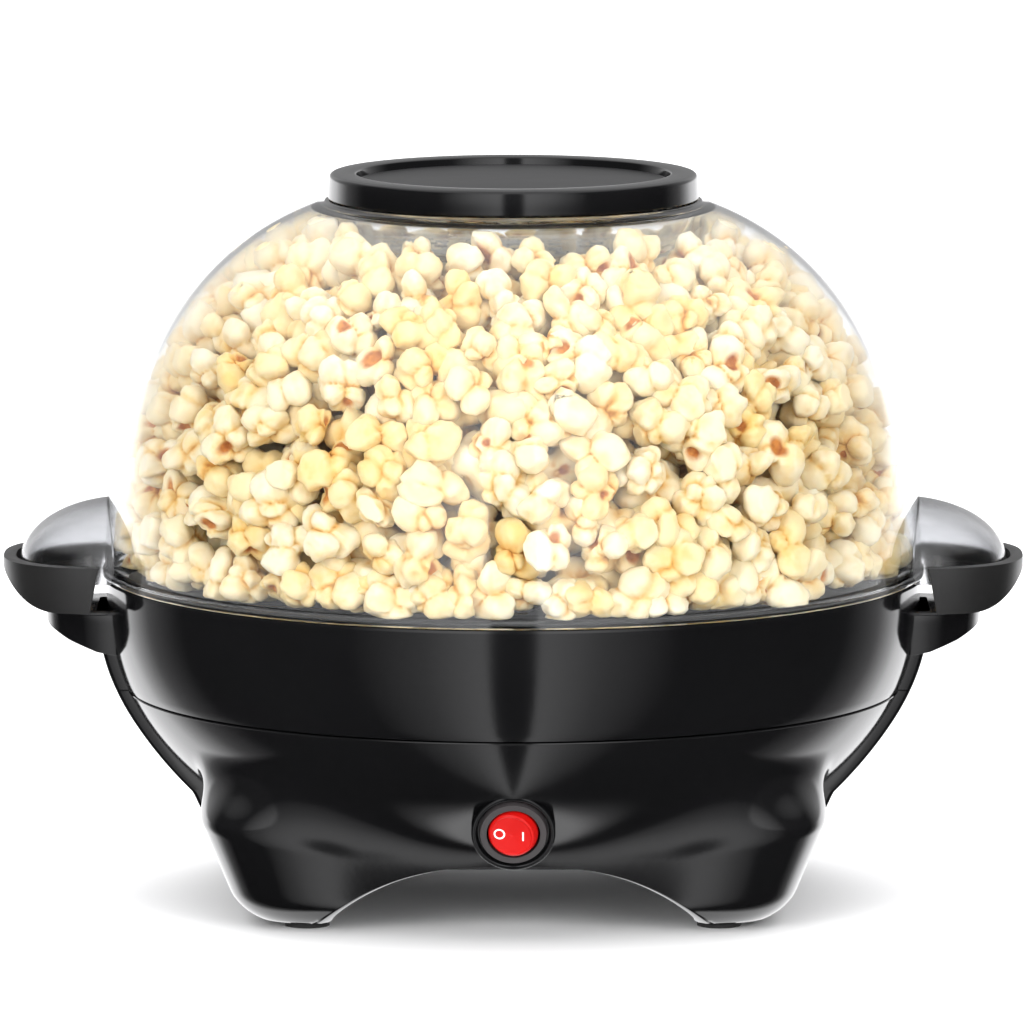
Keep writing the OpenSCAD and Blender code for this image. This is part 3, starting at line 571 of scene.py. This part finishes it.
# ---------------------------------------------------------------- upper ring, side bands and lugs
def upper_ring():
    top = RIM_Z
    steps = 26
    zs = [SEAM_Z + 0.05 + (top - SEAM_Z - 0.05) * i / steps for i in range(steps + 1)]
    prof = [(bowl(zs[0]) - 0.5, zs[0]), (bowl(zs[0]) - 0.12, zs[0] + 0.12)]
    prof += [(bowl(z), z) for z in zs[1:-1]]
    prof += [(bowl(top), top - 0.6), (bowl(top) - 0.18, top - 0.18), (bowl(top) - 0.6, top)]
    prof += [(135.2, top), (135.2, 105), (124, 105), (124, 103), (133, 102)]
    prof += [(bowl(z) - 3.6, z) for z in reversed(zs[:-8])]
    ring = revolve("upper_ring", prof, GLOSS, n=256, smooth=30)
    finish_piece(ring, "base", GLOSS, 30, replaces=["upper_housing"])


upper_ring()


BAND_LOW = 24.0
BAND_KNEE = 38.0


def band_line(z):
    return bowl(z) + 3.2 + 0.0033 * max(0.0, 62 - z) ** 2


def band(z):
    if z >= BAND_KNEE:
        return band_line(z)
    low = half_x(BAND_LOW)
    return low + (band_line(BAND_KNEE) - low) * ((z - BAND_LOW) / (BAND_KNEE - BAND_LOW)) ** 0.8


def band_half(z):
    return 17 + 5 * (max(0.0, 72 - z) / 34) ** 1.8


def side_band(name, z0, z1):
    """The raised band that runs from the lug down into the legs: a shallow pad with rounded long edges."""
    rows, cols = 44, 20
    edge = [0.0, 0.35, 0.8, 1.5]
    drop = [1.6, 0.7, 0.22, 0.0]
    verts = []
    for i in range(rows + 1):
        z = z0 + (z1 - z0) * i / rows
        w = band_half(z)
        ys = [-w + e for e in edge] + [(-w + 1.5) + (2 * w - 3) * j / cols for j in range(1, cols)] \
            + [w - e for e in reversed(edge)]
        ds = drop + [0.0] * (cols - 1) + list(reversed(drop))
        for y, d in zip(ys, ds):
            verts.append((band(z) - d, y, z))
    w = len(verts) // (rows + 1)
    back = []
    for i in range(rows + 1):
        z = z0 + (z1 - z0) * i / rows
        for j in range(w):
            y = verts[i * w + j][1]
            t = math.asin(min(1.0, abs(y) / shell(0, z)))
            back.append((shell(t, z) * math.cos(t) - 1.6, y, z))
    o = len(verts)
    faces = []
    for i in range(rows):
        for j in range(w - 1):
            a = i * w + j
            faces.append((a, a + 1, a + w + 1, a + w))
            faces.append((o + a, o + a + w, o + a + w + 1, o + a + 1))
    for i in range(rows):
        a, b = i * w, (i + 1) * w
        faces.append((a, b, o + b, o + a))
        a, b = i * w + w - 1, (i + 1) * w + w - 1
        faces.append((a, o + a, o + b, b))
    for j in range(w - 1):
        faces.append((j, o + j, o + j + 1, j + 1))
        a = rows * w + j
        faces.append((a, a + 1, o + a + 1, o + a))
    return build(name, verts + back, faces)


def superellipse(root, tip, half, power, n=72):
    out = []
    for i in range(n + 1):
        t = math.pi * i / n
        s, c = math.sin(t), math.cos(t)
        out.append((root + (tip - root) * s ** (2 / power), half * math.copysign(abs(c) ** (2 / power), c)))
    return out


def sides():
    for part, z0, z1 in (("lower", BAND_LOW, SEAM_Z - SEAM_GAP), ("upper", SEAM_Z + 0.05, LUG_TOP)):
        right = side_band(f"side_band_{part}_right", z0, z1)
        left = turned(right, f"side_band_{part}_left")
        for piece in (right, left):
            finish_piece(piece, "base", GLOSS, 40)
    lug = prism("lug_right", superellipse(132, 158.5, 27, 2.5), 60, LUG_TOP)
    outline = [(133, 85.5), (140.6, 86.8), (150, 90.4), (157, 94), (158.6, 95.6), (160, 96), (160, 100),
               (133, 100)]
    side = prism("side", outline, -30, 30, "XZ")
    combine(lug, side, "INTERSECT")
    bevel(lug, 1.0, 4)
    left = turned(lug, "lug_left")
    for piece in (lug, left):
        finish_piece(piece, "base", GLOSS, 40)


sides()


# ---------------------------------------------------------------- dome, wings and grips
def dome_z(r):
    return DOME_BASE + DOME_RISE * (1 - (r / DOME_R) ** 2.95) ** (1 / 1.95)


def dome_radius(z):
    if z <= DOME_BASE:
        return DOME_R
    return DOME_R * (1 - ((z - DOME_BASE) / DOME_RISE) ** 1.95) ** (1 / 2.95)


def dome():
    w = DOME_WALL
    outer, inner = [], []
    steps = 60
    for i in range(steps + 1):
        r = DOME_R - (DOME_R - 64.2) * (i / steps) ** 1.9
        z = dome_z(r) if i else DOME_BASE
        lean = 0.0 if i == 0 else min(60.0, (dome_z(r - 0.05) - dome_z(min(r + 0.05, DOME_R))) / 0.1)
        # lean is how steeply the wall rises; the wall's inner face lies w inside along the normal
        if i == 0:
            nr, nz = 1.0, 0.0
        else:
            k = math.hypot(1.0, lean)
            nr, nz = lean / k, 1.0 / k
        outer.append((r, z))
        inner.append((r - w * nr, z - w * nz))
    floor = NECK_Z - WELL_DEPTH
    rim = [(64.0, 237.7), (63.6, 238.05), (63.0, 238.2), (61.3, 238.2), (60.7, 238.0), (60.4, 237.6)]
    well = [(60.3, 236.6), (59.5, 234.6), (58.6, 231.2), (57.4, 227.6), (55.6, 225.0), (53.2, 223.6),
            (50.4, floor), (0, floor), (0, floor - w), (50.8, floor - w),
            (54.6, 221.6), (57.6, 223.6), (59.9, 227.2), (61.0, 230.8), (62.2, 233.6)]
    flange = [(136.4, 113.4), (136.2, 111.6), (136.3, 111.1), (136.8, 111.0), (138.9, 111.0), (139.3, 111.2),
              (139.4, 111.6), (139.4, 112.8), (139.25, 113.2), (138.9, 113.4), (138.75, 113.7)]
    profile = outer + rim + well + list(reversed(inner))[1:] + flange
    shell_obj = revolve("dome_shell", profile, CLEAR, n=256, smooth=50)
    finish_piece(shell_obj, "dome_group", CLEAR, 50, replaces=["dome", "butter_well"])
    # the rims of the butter well's drain holes
    rim_of_hole = rounded([(1.5, floor + 0.02), (2.3, floor + 0.02), (2.3, floor + 0.5), (1.5, floor + 0.5)],
                          0.15, 2)
    rings = []
    for radius, count in ((0, 1), (14, 6), (28, 12), (42, 16)):
        for i in range(count):
            a = 2 * math.pi * i / count
            ring = revolve("ring", rim_of_hole, None, n=20)
            place = Vector((radius * math.cos(a), radius * math.sin(a), 0)) * MM
            ring.data.transform(Matrix.Translation(place))
            rings.append(ring)
    joined = join(rings, "well_holes")
    finish_piece(joined, "dome_group", CLEAR, 40)


def join(objs, name):
    bm = bmesh.new()
    for o in objs:
        bm.from_mesh(o.data)
    mesh = bpy.data.meshes.new(name)
    bm.to_mesh(mesh)
    bm.free()
    for o in objs:
        bpy.data.objects.remove(o, do_unlink=True)
    return link(mesh, name)


def wing():
    """A clear hood over the U of the grip: outer and inner skins from the dome wall out to the tip."""
    root, nx, ny = 128.0, 40, 48

    def skin(half, tip, crown, end, low, gap):
        pts = []
        for j in range(ny + 1):
            t = math.pi * j / ny

            def at(x):
                u = min(1.0, (x - root) / (tip - root))
                h = half * max(0.0, 1 - u ** 2.6) ** (1 / 2.6)
                rise = end + crown * math.sqrt(max(0.0, 1 - u ** 2.2))
                return Vector((x, -h * math.cos(t), low + 3 + (rise - 3) * math.sin(t) ** 0.8))

            a, b = root, tip - 0.05
            for _ in range(40):
                m = (a + b) / 2
                p = at(m)
                if math.hypot(p.x, p.y) < dome_radius(p.z) + gap:
                    a = m
                else:
                    b = m
            start = a
            line = []
            for i in range(nx + 1):
                x = start + (tip - 0.05 - start) * math.sin(0.5 * math.pi * i / nx)
                line.append(at(x))
            pts.append(line)
        return pts

    out = skin(34.5, WING_TIP, 22, 3.6, 111, 0.05)
    inn = skin(32.3, WING_TIP - 2.3, 20.3, 3.2, 111, 0.05)
    verts, faces = [], []

    def add(grid):
        base = len(verts)
        for line in grid:
            verts.extend(tuple(p) for p in line)
        return base

    def drop(line, z):
        return [Vector((p.x, p.y, z)) for p in line]

    # each skin runs rim to rim: foot, hood, foot
    outer = [drop(out[0], 111)] + out + [drop(out[-1], 111)]
    inner = [drop(inn[0], 111)] + inn + [drop(inn[-1], 111)]
    bo, bi = add(outer), add(inner)
    w = nx + 1
    m = len(outer)
    for j in range(m - 1):
        for i in range(nx):
            a = bo + j * w + i
            faces.append((a, a + 1, a + w + 1, a + w))
            a = bi + j * w + i
            faces.append((a, a + w, a + w + 1, a + 1))
    for i in range(nx):
        a, b = bo + i, bi + i
        faces.append((a, b, b + 1, a + 1))
        a, b = bo + (m - 1) * w + i, bi + (m - 1) * w + i
        faces.append((a, a + 1, b + 1, b))
    for j in range(m - 1):
        a, b = bo + j * w, bi + j * w
        faces.append((a, a + w, b + w, b))
        a, b = bo + j * w + nx, bi + j * w + nx
        faces.append((a, b, b + w, a + w))
    right = build("wing_right", verts, faces)
    left = turned(right, "wing_left")
    for piece, node in ((right, "wing_right"), (left, "wing_left")):
        finish_piece(piece, "dome_group", SMOKE, 50, replaces=[node])


def grips():
    def edge(x):
        return 101.6 + 12.5 * (max(0.0, x - 152) / (GRIP_TIP - 152)) ** 2.6

    band_out = prism("grip_body_right", superellipse(130, GRIP_TIP, GRIP_HALF, 2.6, 96), 90, 117.2)
    hollow = prism("cut", superellipse(130, 168.8, 35.4, 2.6, 96), 110.6, 130)
    combine(band_out, hollow, "DIFFERENCE")
    hollow = prism("cut", superellipse(129.5, 165.6, 32.2, 2.6, 96), 80, 130)
    combine(band_out, hollow, "DIFFERENCE")
    xs = [GRIP_ROOT + 3 + (GRIP_TIP - 2 - GRIP_ROOT) * i / 40 for i in range(41)]
    low = [(x, edge(min(x, GRIP_TIP))) for x in xs]
    side = prism("side", low + [(GRIP_TIP + 1, 117.3), (GRIP_ROOT, 117.3)], -60, 60, "XZ")
    combine(band_out, side, "INTERSECT")
    bevel(band_out, 0.8, 3, 40)
    left = turned(band_out, "grip_body_left")
    finish_piece(band_out, "dome_group", SATIN, 38, replaces=["grip_right"])
    finish_piece(left, "dome_group", SATIN, 38, replaces=["grip_left"])


dome()
wing()
grips()


# ---------------------------------------------------------------- cap
def cap():
    top, low, r = CAP_TOP, 238.5, CAP_R
    rec = 52.7
    prof = rounded([(56.8, 241.6), (56.8, 235.6), (59.5, 235.6), (59.6, low), (r, low), (r - 0.5, top),
                    (rec + 0.5, top), (rec, top - 3), (0, top - 3), (0, 241.6)],
                   [0, 0.4, 0.4, 0.4, 0.5, 1.7, 0.8, 0.3, 0, 0], 6)
    obj = revolve("cap_body", prof, LID_TOP, n=256, smooth=30)
    finish_piece(obj, "cap", LID_TOP, 30, replaces=["vent_lid"])
    outline = rounded([(0, top - 3.0), (rec - 0.5, top - 3.0), (rec - 0.5, top - 2.55), (0, top - 2.5)],
                      [0, 0, 0.3, 0], 4)
    disc = revolve("cap_disc", outline, DISC, n=192, smooth=30)
    finish_piece(disc, "cap", DISC, 30)


cap()


# ---------------------------------------------------------------- rocker marks
def dish(x, y):
    """Height of the rocker's dished face at a point of it."""
    return 3.0 + 0.5 * min(1.0, math.hypot(x, y) / 6.6)


def mark(name, outline, inner=None):
    """A printed mark 0.06 mm thick on the rocker's face: a strip between two loops, or one filled loop."""
    base = (Matrix.Translation(SWITCH_FACE * MM) @ Matrix.Rotation(math.pi / 2 + SWITCH_TILT, 4, "X")
            @ Matrix.Translation(Vector((0, 0, -2.4)) * MM) @ Matrix.Rotation(math.radians(-12), 4, "Y"))
    n = len(outline)
    loops = [outline, inner or outline]
    verts = [(x, y, dish(x, y) + h) for h in (0.07, -0.05) for loop in loops for x, y in loop]
    faces = []
    for i in range(n):
        k = (i + 1) % n
        if inner:
            faces += [(i, k, n + k, n + i), (2 * n + i, 3 * n + i, 3 * n + k, 2 * n + k)]
            faces.append((n + i, n + k, 3 * n + k, 3 * n + i))
        faces.append((i, 2 * n + i, 2 * n + k, k))
    if not inner:
        faces += [tuple(range(n)), tuple(range(2 * n, 3 * n))]
    obj = build(name, verts, faces, WHITE_INK)
    obj.data.transform(base)
    finish_piece(obj, "rocker", WHITE_INK, 30)


def marks():
    turns = [2 * math.pi * i / 64 for i in range(64)]
    ring = [(-4.0 + 1.9 * math.cos(t), 1.9 * math.sin(t)) for t in turns]
    hole = [(-4.0 + 1.35 * math.cos(t), 1.35 * math.sin(t)) for t in turns]
    mark("mark_off", ring, hole)
    mark("mark_on", rounded([(3.7, -1.65), (4.25, -1.65), (4.25, 1.65), (3.7, 1.65)], 0.2, 4))


marks()


# ---------------------------------------------------------------- popcorn: contents, not part of the machine
FLAKE_LOW = 111.8                        # no flake reaches lower
FLAKE_PIECES = 14                        # the flakes are joined by sector into this many pieces
KEPT_FROM_WALL = 10.6                    # from a flake's centre to the dome


def ball(level):
    """Unit directions and triangles of an icosphere."""
    bm = bmesh.new()
    bmesh.ops.create_icosphere(bm, subdivisions=level, radius=1.0)
    points = np.array([v.co[:] for v in bm.verts])
    faces = np.array([[v.index for v in f.verts] for f in bm.faces])
    bm.free()
    return points, faces


def direction(rng):
    d = rng.normal(size=3)
    return d / np.linalg.norm(d)


def kernel(rng, level):
    """One popped flake: uneven lobes round a centre, and the hull in the hollow where it opened."""
    u, faces = ball(level)
    u /= np.linalg.norm(u, axis=1)[:, None]

    def directions(count, apart):
        found = []
        for _ in range(4000):
            d = direction(rng)
            if all(np.dot(d, e) < math.cos(apart) for e in found):
                found.append(d)
            if len(found) == count:
                break
        return np.array(found)

    def waves(freq, count=7):
        """A smooth uneven field over the flake, between -1 and 1."""
        total = np.zeros(len(u))
        for _ in range(count):
            total += np.sin(freq * rng.uniform(0.7, 1.3) * (u @ direction(rng)) + rng.uniform(0, 6.28))
        return total / count ** 0.5 / 1.4

    # the field of directions is bent first, so that no lobe is a part of a ball
    bent = u + 0.16 * np.stack([waves(3.4), waves(3.4), waves(3.4)], axis=1)
    bent /= np.linalg.norm(bent, axis=1)[:, None]
    # a few large lobes, each a sphere seen from the flake's centre
    main = directions(rng.integers(4, 8), 0.72)
    reach = rng.uniform(0.34, 0.66, len(main))
    size = np.maximum(rng.uniform(0.34, 0.58, len(main)), reach + 0.012)
    along = bent @ (main * reach[:, None]).T
    big = along + np.sqrt(np.maximum(size ** 2 - reach ** 2 + along ** 2, 0))
    order = np.sort(big, axis=1)
    top, next_top = order[:, -1], order[:, -2]
    crease = np.clip((top - next_top) / 0.15, 0, 1)
    # small buds and dents, then ridges and fine wrinkles
    buds = directions(26, 0.32)
    fields = np.exp(19 * (bent @ buds.T - 1))
    bud = (fields * rng.uniform(-0.10, 0.17, len(buds))).sum(axis=1)
    ranked = np.sort(fields, axis=1)
    bud_crease = np.clip((ranked[:, -1] - ranked[:, -2]) / 0.3, 0, 1)
    ridge = 1 - np.abs(waves(7.0))
    fine = 1 - np.abs(waves(17.0))
    r = top * (0.86 + 0.14 * crease ** 0.6) * (1 + bud) * (0.955 + 0.045 * bud_crease)
    r *= 1 + 0.11 * (ridge - 0.6) + 0.045 * (fine - 0.6) + 0.07 * waves(4.2)
    # the hollow with the hull in it, and its raised lip
    shown = rng.random() < 0.72
    wide = rng.uniform(0.36, 0.58)
    angle = np.arccos(np.clip(u @ direction(rng), -1, 1)) * (1 + 0.22 * waves(6.0))
    near = np.exp(-((angle / wide) ** 2))
    lip = np.exp(-(((angle - wide * 1.25) / 0.16) ** 2))
    r *= 1 - (0.50 if shown else 0.16) * near + (0.10 if shown else 0.0) * lip
    hull = near * (1.0 if shown else 0.0)
    scale = np.percentile(r, 93)
    # low in the creases between lobes and where the surface lies deep: it gives the corn's yellow there and
    # painted shade, brown, in the deepest creases and recesses
    fold = np.clip(0.42 * crease + 0.2 * bud_crease + 0.16 * ridge + 0.85 * (r / scale - 0.66), 0, 1)
    pts = u * (r / scale)[:, None] * rng.uniform(0.8, 1.14, 3)
    return pts, faces, fold, hull


def cell(p, gap):
    return tuple(int(math.floor(c / gap)) for c in p)


def crowded(grid, p, gap):
    """Whether a placed centre lies nearer to p than gap."""
    i, j, k = cell(p, gap)
    for dx in (-1, 0, 1):
        for dy in (-1, 0, 1):
            for dz in (-1, 0, 1):
                for q in grid.get((i + dx, j + dy, k + dz), ()):
                    if (q[0] - p[0]) ** 2 + (q[1] - p[1]) ** 2 + (q[2] - p[2]) ** 2 < gap * gap:
                        return True
    return False


def ceiling(r):
    """Highest flake centre at radius r: under the dome, and under the butter well."""
    top = dome_z(min(r + 7.2, 136)) - 8.6
    if r < 66:
        top = min(top, 212.0)
    return top


def limit(z):
    return dome_radius(z) - KEPT_FROM_WALL


def try_place(draw, depth):
    """A random centre on a layer at this depth, even by arc length over the wall and the crown."""
    lowest, wall = 119.5, 96
    a = draw.uniform(0, 2 * math.pi)
    s = draw.uniform(0, 215)
    if s < wall:
        z = lowest + s
        r = limit(z) - depth
    else:
        r = limit(210) - depth - (s - wall)
        if r < 0 or draw.random() > r / 100 + 0.05:
            return None
        z = ceiling(max(r, 0)) - depth
    r = max(0.0, r - draw.uniform(0, 2.6))
    z = max(min(z, ceiling(r) - depth * 0.9), lowest)
    return r * math.cos(a), r * math.sin(a), z


def place_flakes(draw):
    """Flake centres, each with whether it is seen close from the front."""
    placed = []
    rim_row = 70
    for i in range(rim_row):
        a = 2 * math.pi * (i + draw.uniform(-0.2, 0.2)) / rim_row
        r = 123.8 + draw.uniform(-1.5, 1.2)
        placed.append(((r * math.cos(a), r * math.sin(a), 118.0 + draw.uniform(0, 3.0)), math.sin(a) < 0.3))
    for depth, gap, tries in ((0.0, 11.6, 16000), (9.0, 12.0, 9000), (19.0, 13.5, 6000)):
        grid = {}
        for p, _ in placed if depth == 0 else ():
            grid.setdefault(cell(p, gap), []).append(p)
        for _ in range(tries):
            p = try_place(draw, depth)
            if p is None or crowded(grid, p, gap):
                continue
            grid.setdefault(cell(p, gap), []).append(p)
            placed.append((p, depth == 0 and p[1] < 40))
    return placed


def rotation(q):
    w, x, y, z = q / np.linalg.norm(q)
    return np.array([[1 - 2 * (y * y + z * z), 2 * (x * y - z * w), 2 * (x * z + y * w)],
                     [2 * (x * y + z * w), 1 - 2 * (x * x + z * z), 2 * (y * z - x * w)],
                     [2 * (x * z - y * w), 2 * (y * z + x * w), 1 - 2 * (x * x + y * y)]])


def kept_inside(v):
    """Presses a flake's points back inside the dome, and under the butter well."""
    rr = np.hypot(v[:, 0], v[:, 1])
    most = np.array([dome_radius(min(max(z, 116), 236)) for z in v[:, 2]]) - 3.0
    scale = np.minimum(1.0, most / np.maximum(rr, 1e-6))
    v[:, 0] *= scale
    v[:, 1] *= scale
    v[:, 2] = np.clip(v[:, 2], FLAKE_LOW, np.where(rr < 64.5, 219.5, 233.0))
    return v


def flake_piece(name, flakes, kinds, rng, draw):
    """Joins the flakes of one sector. kinds holds the rough and the fine kernels."""
    verts, faces, folds, hulls, tones = [], [], [], [], []
    base = 0
    for p, fine in flakes:
        pts, tri, fold, hull = kinds[fine][draw.randrange(len(kinds[fine]))]
        size = draw.uniform(9.3, 12.2)
        v = kept_inside((pts * size) @ rotation(rng.normal(size=4)).T + np.array(p))
        verts.append(v * MM)
        faces.append(tri + base)
        base += len(v)
        folds.append(fold)
        hulls.append(hull)
        tones.append(np.full(len(v), draw.uniform(0, 1.0) ** 1.3))
    mesh = bpy.data.meshes.new(name)
    mesh.from_pydata(np.concatenate(verts).tolist(), [], np.concatenate(faces).tolist())
    for label, data in (("fold", folds), ("hull", hulls), ("tone", tones)):
        att = mesh.attributes.new(label, "FLOAT", "POINT")
        att.data.foreach_set("value", np.concatenate(data).astype(np.float32))
    mesh.materials.append(CORN)
    mesh.shade_smooth()
    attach(link(mesh, name), "base")


def popcorn_heap(rng):
    """The heap behind the outer flakes: one lumpy body, seen only in the gaps, in a tan darker than the
    flakes that paints the shade deep in the pile.
    """
    u, faces = ball(6)
    z = DOME_BASE + 45 * (1 + u[:, 2])
    ring = np.hypot(u[:, 0], u[:, 1])
    wall_r = np.array([dome_radius(c) for c in z]) - 33
    lumps = np.zeros(len(u))
    for _ in range(60):
        d = direction(rng)
        lumps += np.abs(np.sin(rng.uniform(12, 26) * (u @ d) + rng.uniform(0, 6.28)))
    lumps = (lumps - lumps.mean()) / lumps.std()
    out = wall_r * ring ** 0.35 * (1 + 0.022 * lumps) / np.maximum(ring, 1e-6)
    verts = np.stack([out * u[:, 0], out * u[:, 1], z + 1.6 * lumps], axis=1)
    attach(build("popcorn_heap", verts.tolist(), faces.tolist(), HEAP_PAINTED_SHADE, 60), "base")


def popcorn():
    rng = np.random.default_rng(20417)
    fine_kinds = [kernel(rng, 4) for _ in range(40)]
    rough_kinds = [kernel(rng, 3) for _ in range(12)]
    draw = random.Random(77)
    sectors = {}
    for p, fine in place_flakes(draw):
        share = (math.atan2(p[1], p[0]) + math.pi) / (2 * math.pi)
        sectors.setdefault(int(share * FLAKE_PIECES) % FLAKE_PIECES, []).append((p, fine))
    for key in sorted(sectors):
        flake_piece(f"popcorn_contents_{key}", sectors[key], (rough_kinds, fine_kinds), rng, draw)
    popcorn_heap(rng)


popcorn()


# ---------------------------------------------------------------- floor, light and camera
def stage_and_light():
    mat, nt, bsdf = new_material("studio_floor")
    tex = texture_at(nt, "ShaderNodeTexNoise", 3, Detail=4)
    pale = ramp(nt, tex.outputs["Fac"], [(0.3, (0.86, 0.86, 0.865)), (0.7, (0.9, 0.9, 0.9))])
    nt.links.new(pale, bsdf.inputs["Base Color"])
    nt.links.new(spread(nt, tex.outputs["Fac"], 0.75, 0.9), bsdf.inputs["Roughness"])
    bsdf.inputs["Specular IOR Level"].default_value = 0.1
    far = 14000
    corners = [(-far, -far, 0), (far, -far, 0), (far, far, 0), (-far, far, 0)]
    floor = build("floor", corners, [(0, 1, 2, 3)], mat)
    floor.visible_glossy = False

    world = bpy.data.worlds.new("studio")
    bpy.context.scene.world = world
    world.use_nodes = True
    nt = world.node_tree
    bg = nt.nodes["Background"]
    co = nt.nodes.new("ShaderNodeTexCoord")
    xyz = nt.nodes.new("ShaderNodeSeparateXYZ")
    nt.links.new(co.outputs["Generated"], xyz.inputs[0])
    front = nt.nodes.new("ShaderNodeMath")
    front.operation = "MULTIPLY"
    front.inputs[1].default_value = -1.0
    nt.links.new(xyz.outputs["Y"], front.inputs[0])
    side = nt.nodes.new("ShaderNodeMath")
    side.operation = "ABSOLUTE"
    nt.links.new(xyz.outputs["X"], side.inputs[0])
    turn = nt.nodes.new("ShaderNodeMath")
    turn.operation = "ARCTAN2"
    nt.links.new(side.outputs[0], turn.inputs[0])
    nt.links.new(front.outputs[0], turn.inputs[1])
    part = nt.nodes.new("ShaderNodeMath")
    part.operation = "DIVIDE"
    part.inputs[1].default_value = math.pi
    nt.links.new(turn.outputs[0], part.inputs[0])

    def grey(v):
        return (v, v, v * 1.01, 1)

    def panels(stops):
        return ramp(nt, part.outputs[0], [(share, grey(v)) for share, v in stops])

    # what the gloss reflects, from straight ahead (0) round to the back (1): near the floor, and above it
    low = panels([(0.0, 0.02), (0.034, 0.02), (0.040, 1.25), (0.14, 0.5), (0.26, 0.03), (0.60, 0.02),
                  (0.70, 0.35), (0.80, 1.6), (1.0, 1.0)])
    high = panels([(0.0, 0.12), (0.034, 0.12), (0.040, 1.8), (0.14, 1.2), (0.26, 0.08), (0.60, 0.05),
                   (0.70, 0.35), (0.86, 0.6), (1.0, 0.2)])
    mix = nt.nodes.new("ShaderNodeMix")
    mix.data_type = "RGBA"
    up = nt.nodes.new("ShaderNodeMapRange")
    up.inputs["From Min"].default_value = -0.02
    up.inputs["From Max"].default_value = 0.06
    nt.links.new(xyz.outputs["Z"], up.inputs["Value"])
    nt.links.new(up.outputs["Result"], mix.inputs["Factor"])
    nt.links.new(low, mix.inputs[6])
    nt.links.new(high, mix.inputs[7])
    top = nt.nodes.new("ShaderNodeMix")
    top.data_type = "RGBA"
    nt.links.new(spread(nt, xyz.outputs["Z"], 0.0, 1.0, 0.45, 0.8), top.inputs["Factor"])
    nt.links.new(mix.outputs[2], top.inputs[6])
    top.inputs[7].default_value = grey(1.0)
    nt.links.new(top.outputs[2], bg.inputs["Color"])
    bg.inputs["Strength"].default_value = 1.5

    def area(name, place, aim, size, power, tint=(1, 1, 1), glossy=False):
        data = bpy.data.lights.new(name, "AREA")
        data.shape = "RECTANGLE"
        data.size, data.size_y = size
        data.energy = power
        data.color = tint
        obj = bpy.data.objects.new(name, data)
        bpy.context.scene.collection.objects.link(obj)
        obj.location = place
        obj.rotation_euler = (Vector(aim) - Vector(place)).to_track_quat("-Z", "Y").to_euler()
        obj.visible_glossy = glossy
        obj.visible_transmission = glossy
        obj.visible_camera = False
        return obj

    area("overhead", (0, 0.3, 3.0), (0, 0.2, 0), (5.0, 5.0), 150)
    area("key_left", (-1.4, -2.2, 1.0), (0, 0, 0.15), (1.0, 1.2), 40)
    area("key_right", (1.4, -2.2, 1.0), (0, 0, 0.15), (1.0, 1.2), 34)
    area("under_fill", (0, 1.6, 0.5), (0, 0, 0.0), (1.6, 0.5), 7)
    area("back_fill", (0, 6.0, 3.0), (0, 7, 0), (10.0, 6.0), 260)


stage_and_light()


def camera():
    data = bpy.data.cameras.new("camera")
    obj = bpy.data.objects.new("camera", data)
    bpy.context.scene.collection.objects.link(obj)
    data.lens = 362.3
    data.sensor_width = 36
    data.clip_end = 60
    distance = 3.5
    pitch = math.radians(7.7)
    aim = Vector((-0.00045, 0, 0.13108))
    obj.location = aim + Vector((0, -math.cos(pitch), math.sin(pitch))) * distance
    obj.rotation_euler = (aim - obj.location).to_track_quat("-Z", "Y").to_euler()
    bpy.context.scene.camera = obj


camera()
view = bpy.context.scene.view_settings
view.view_transform = "Standard"
view.look = "None"

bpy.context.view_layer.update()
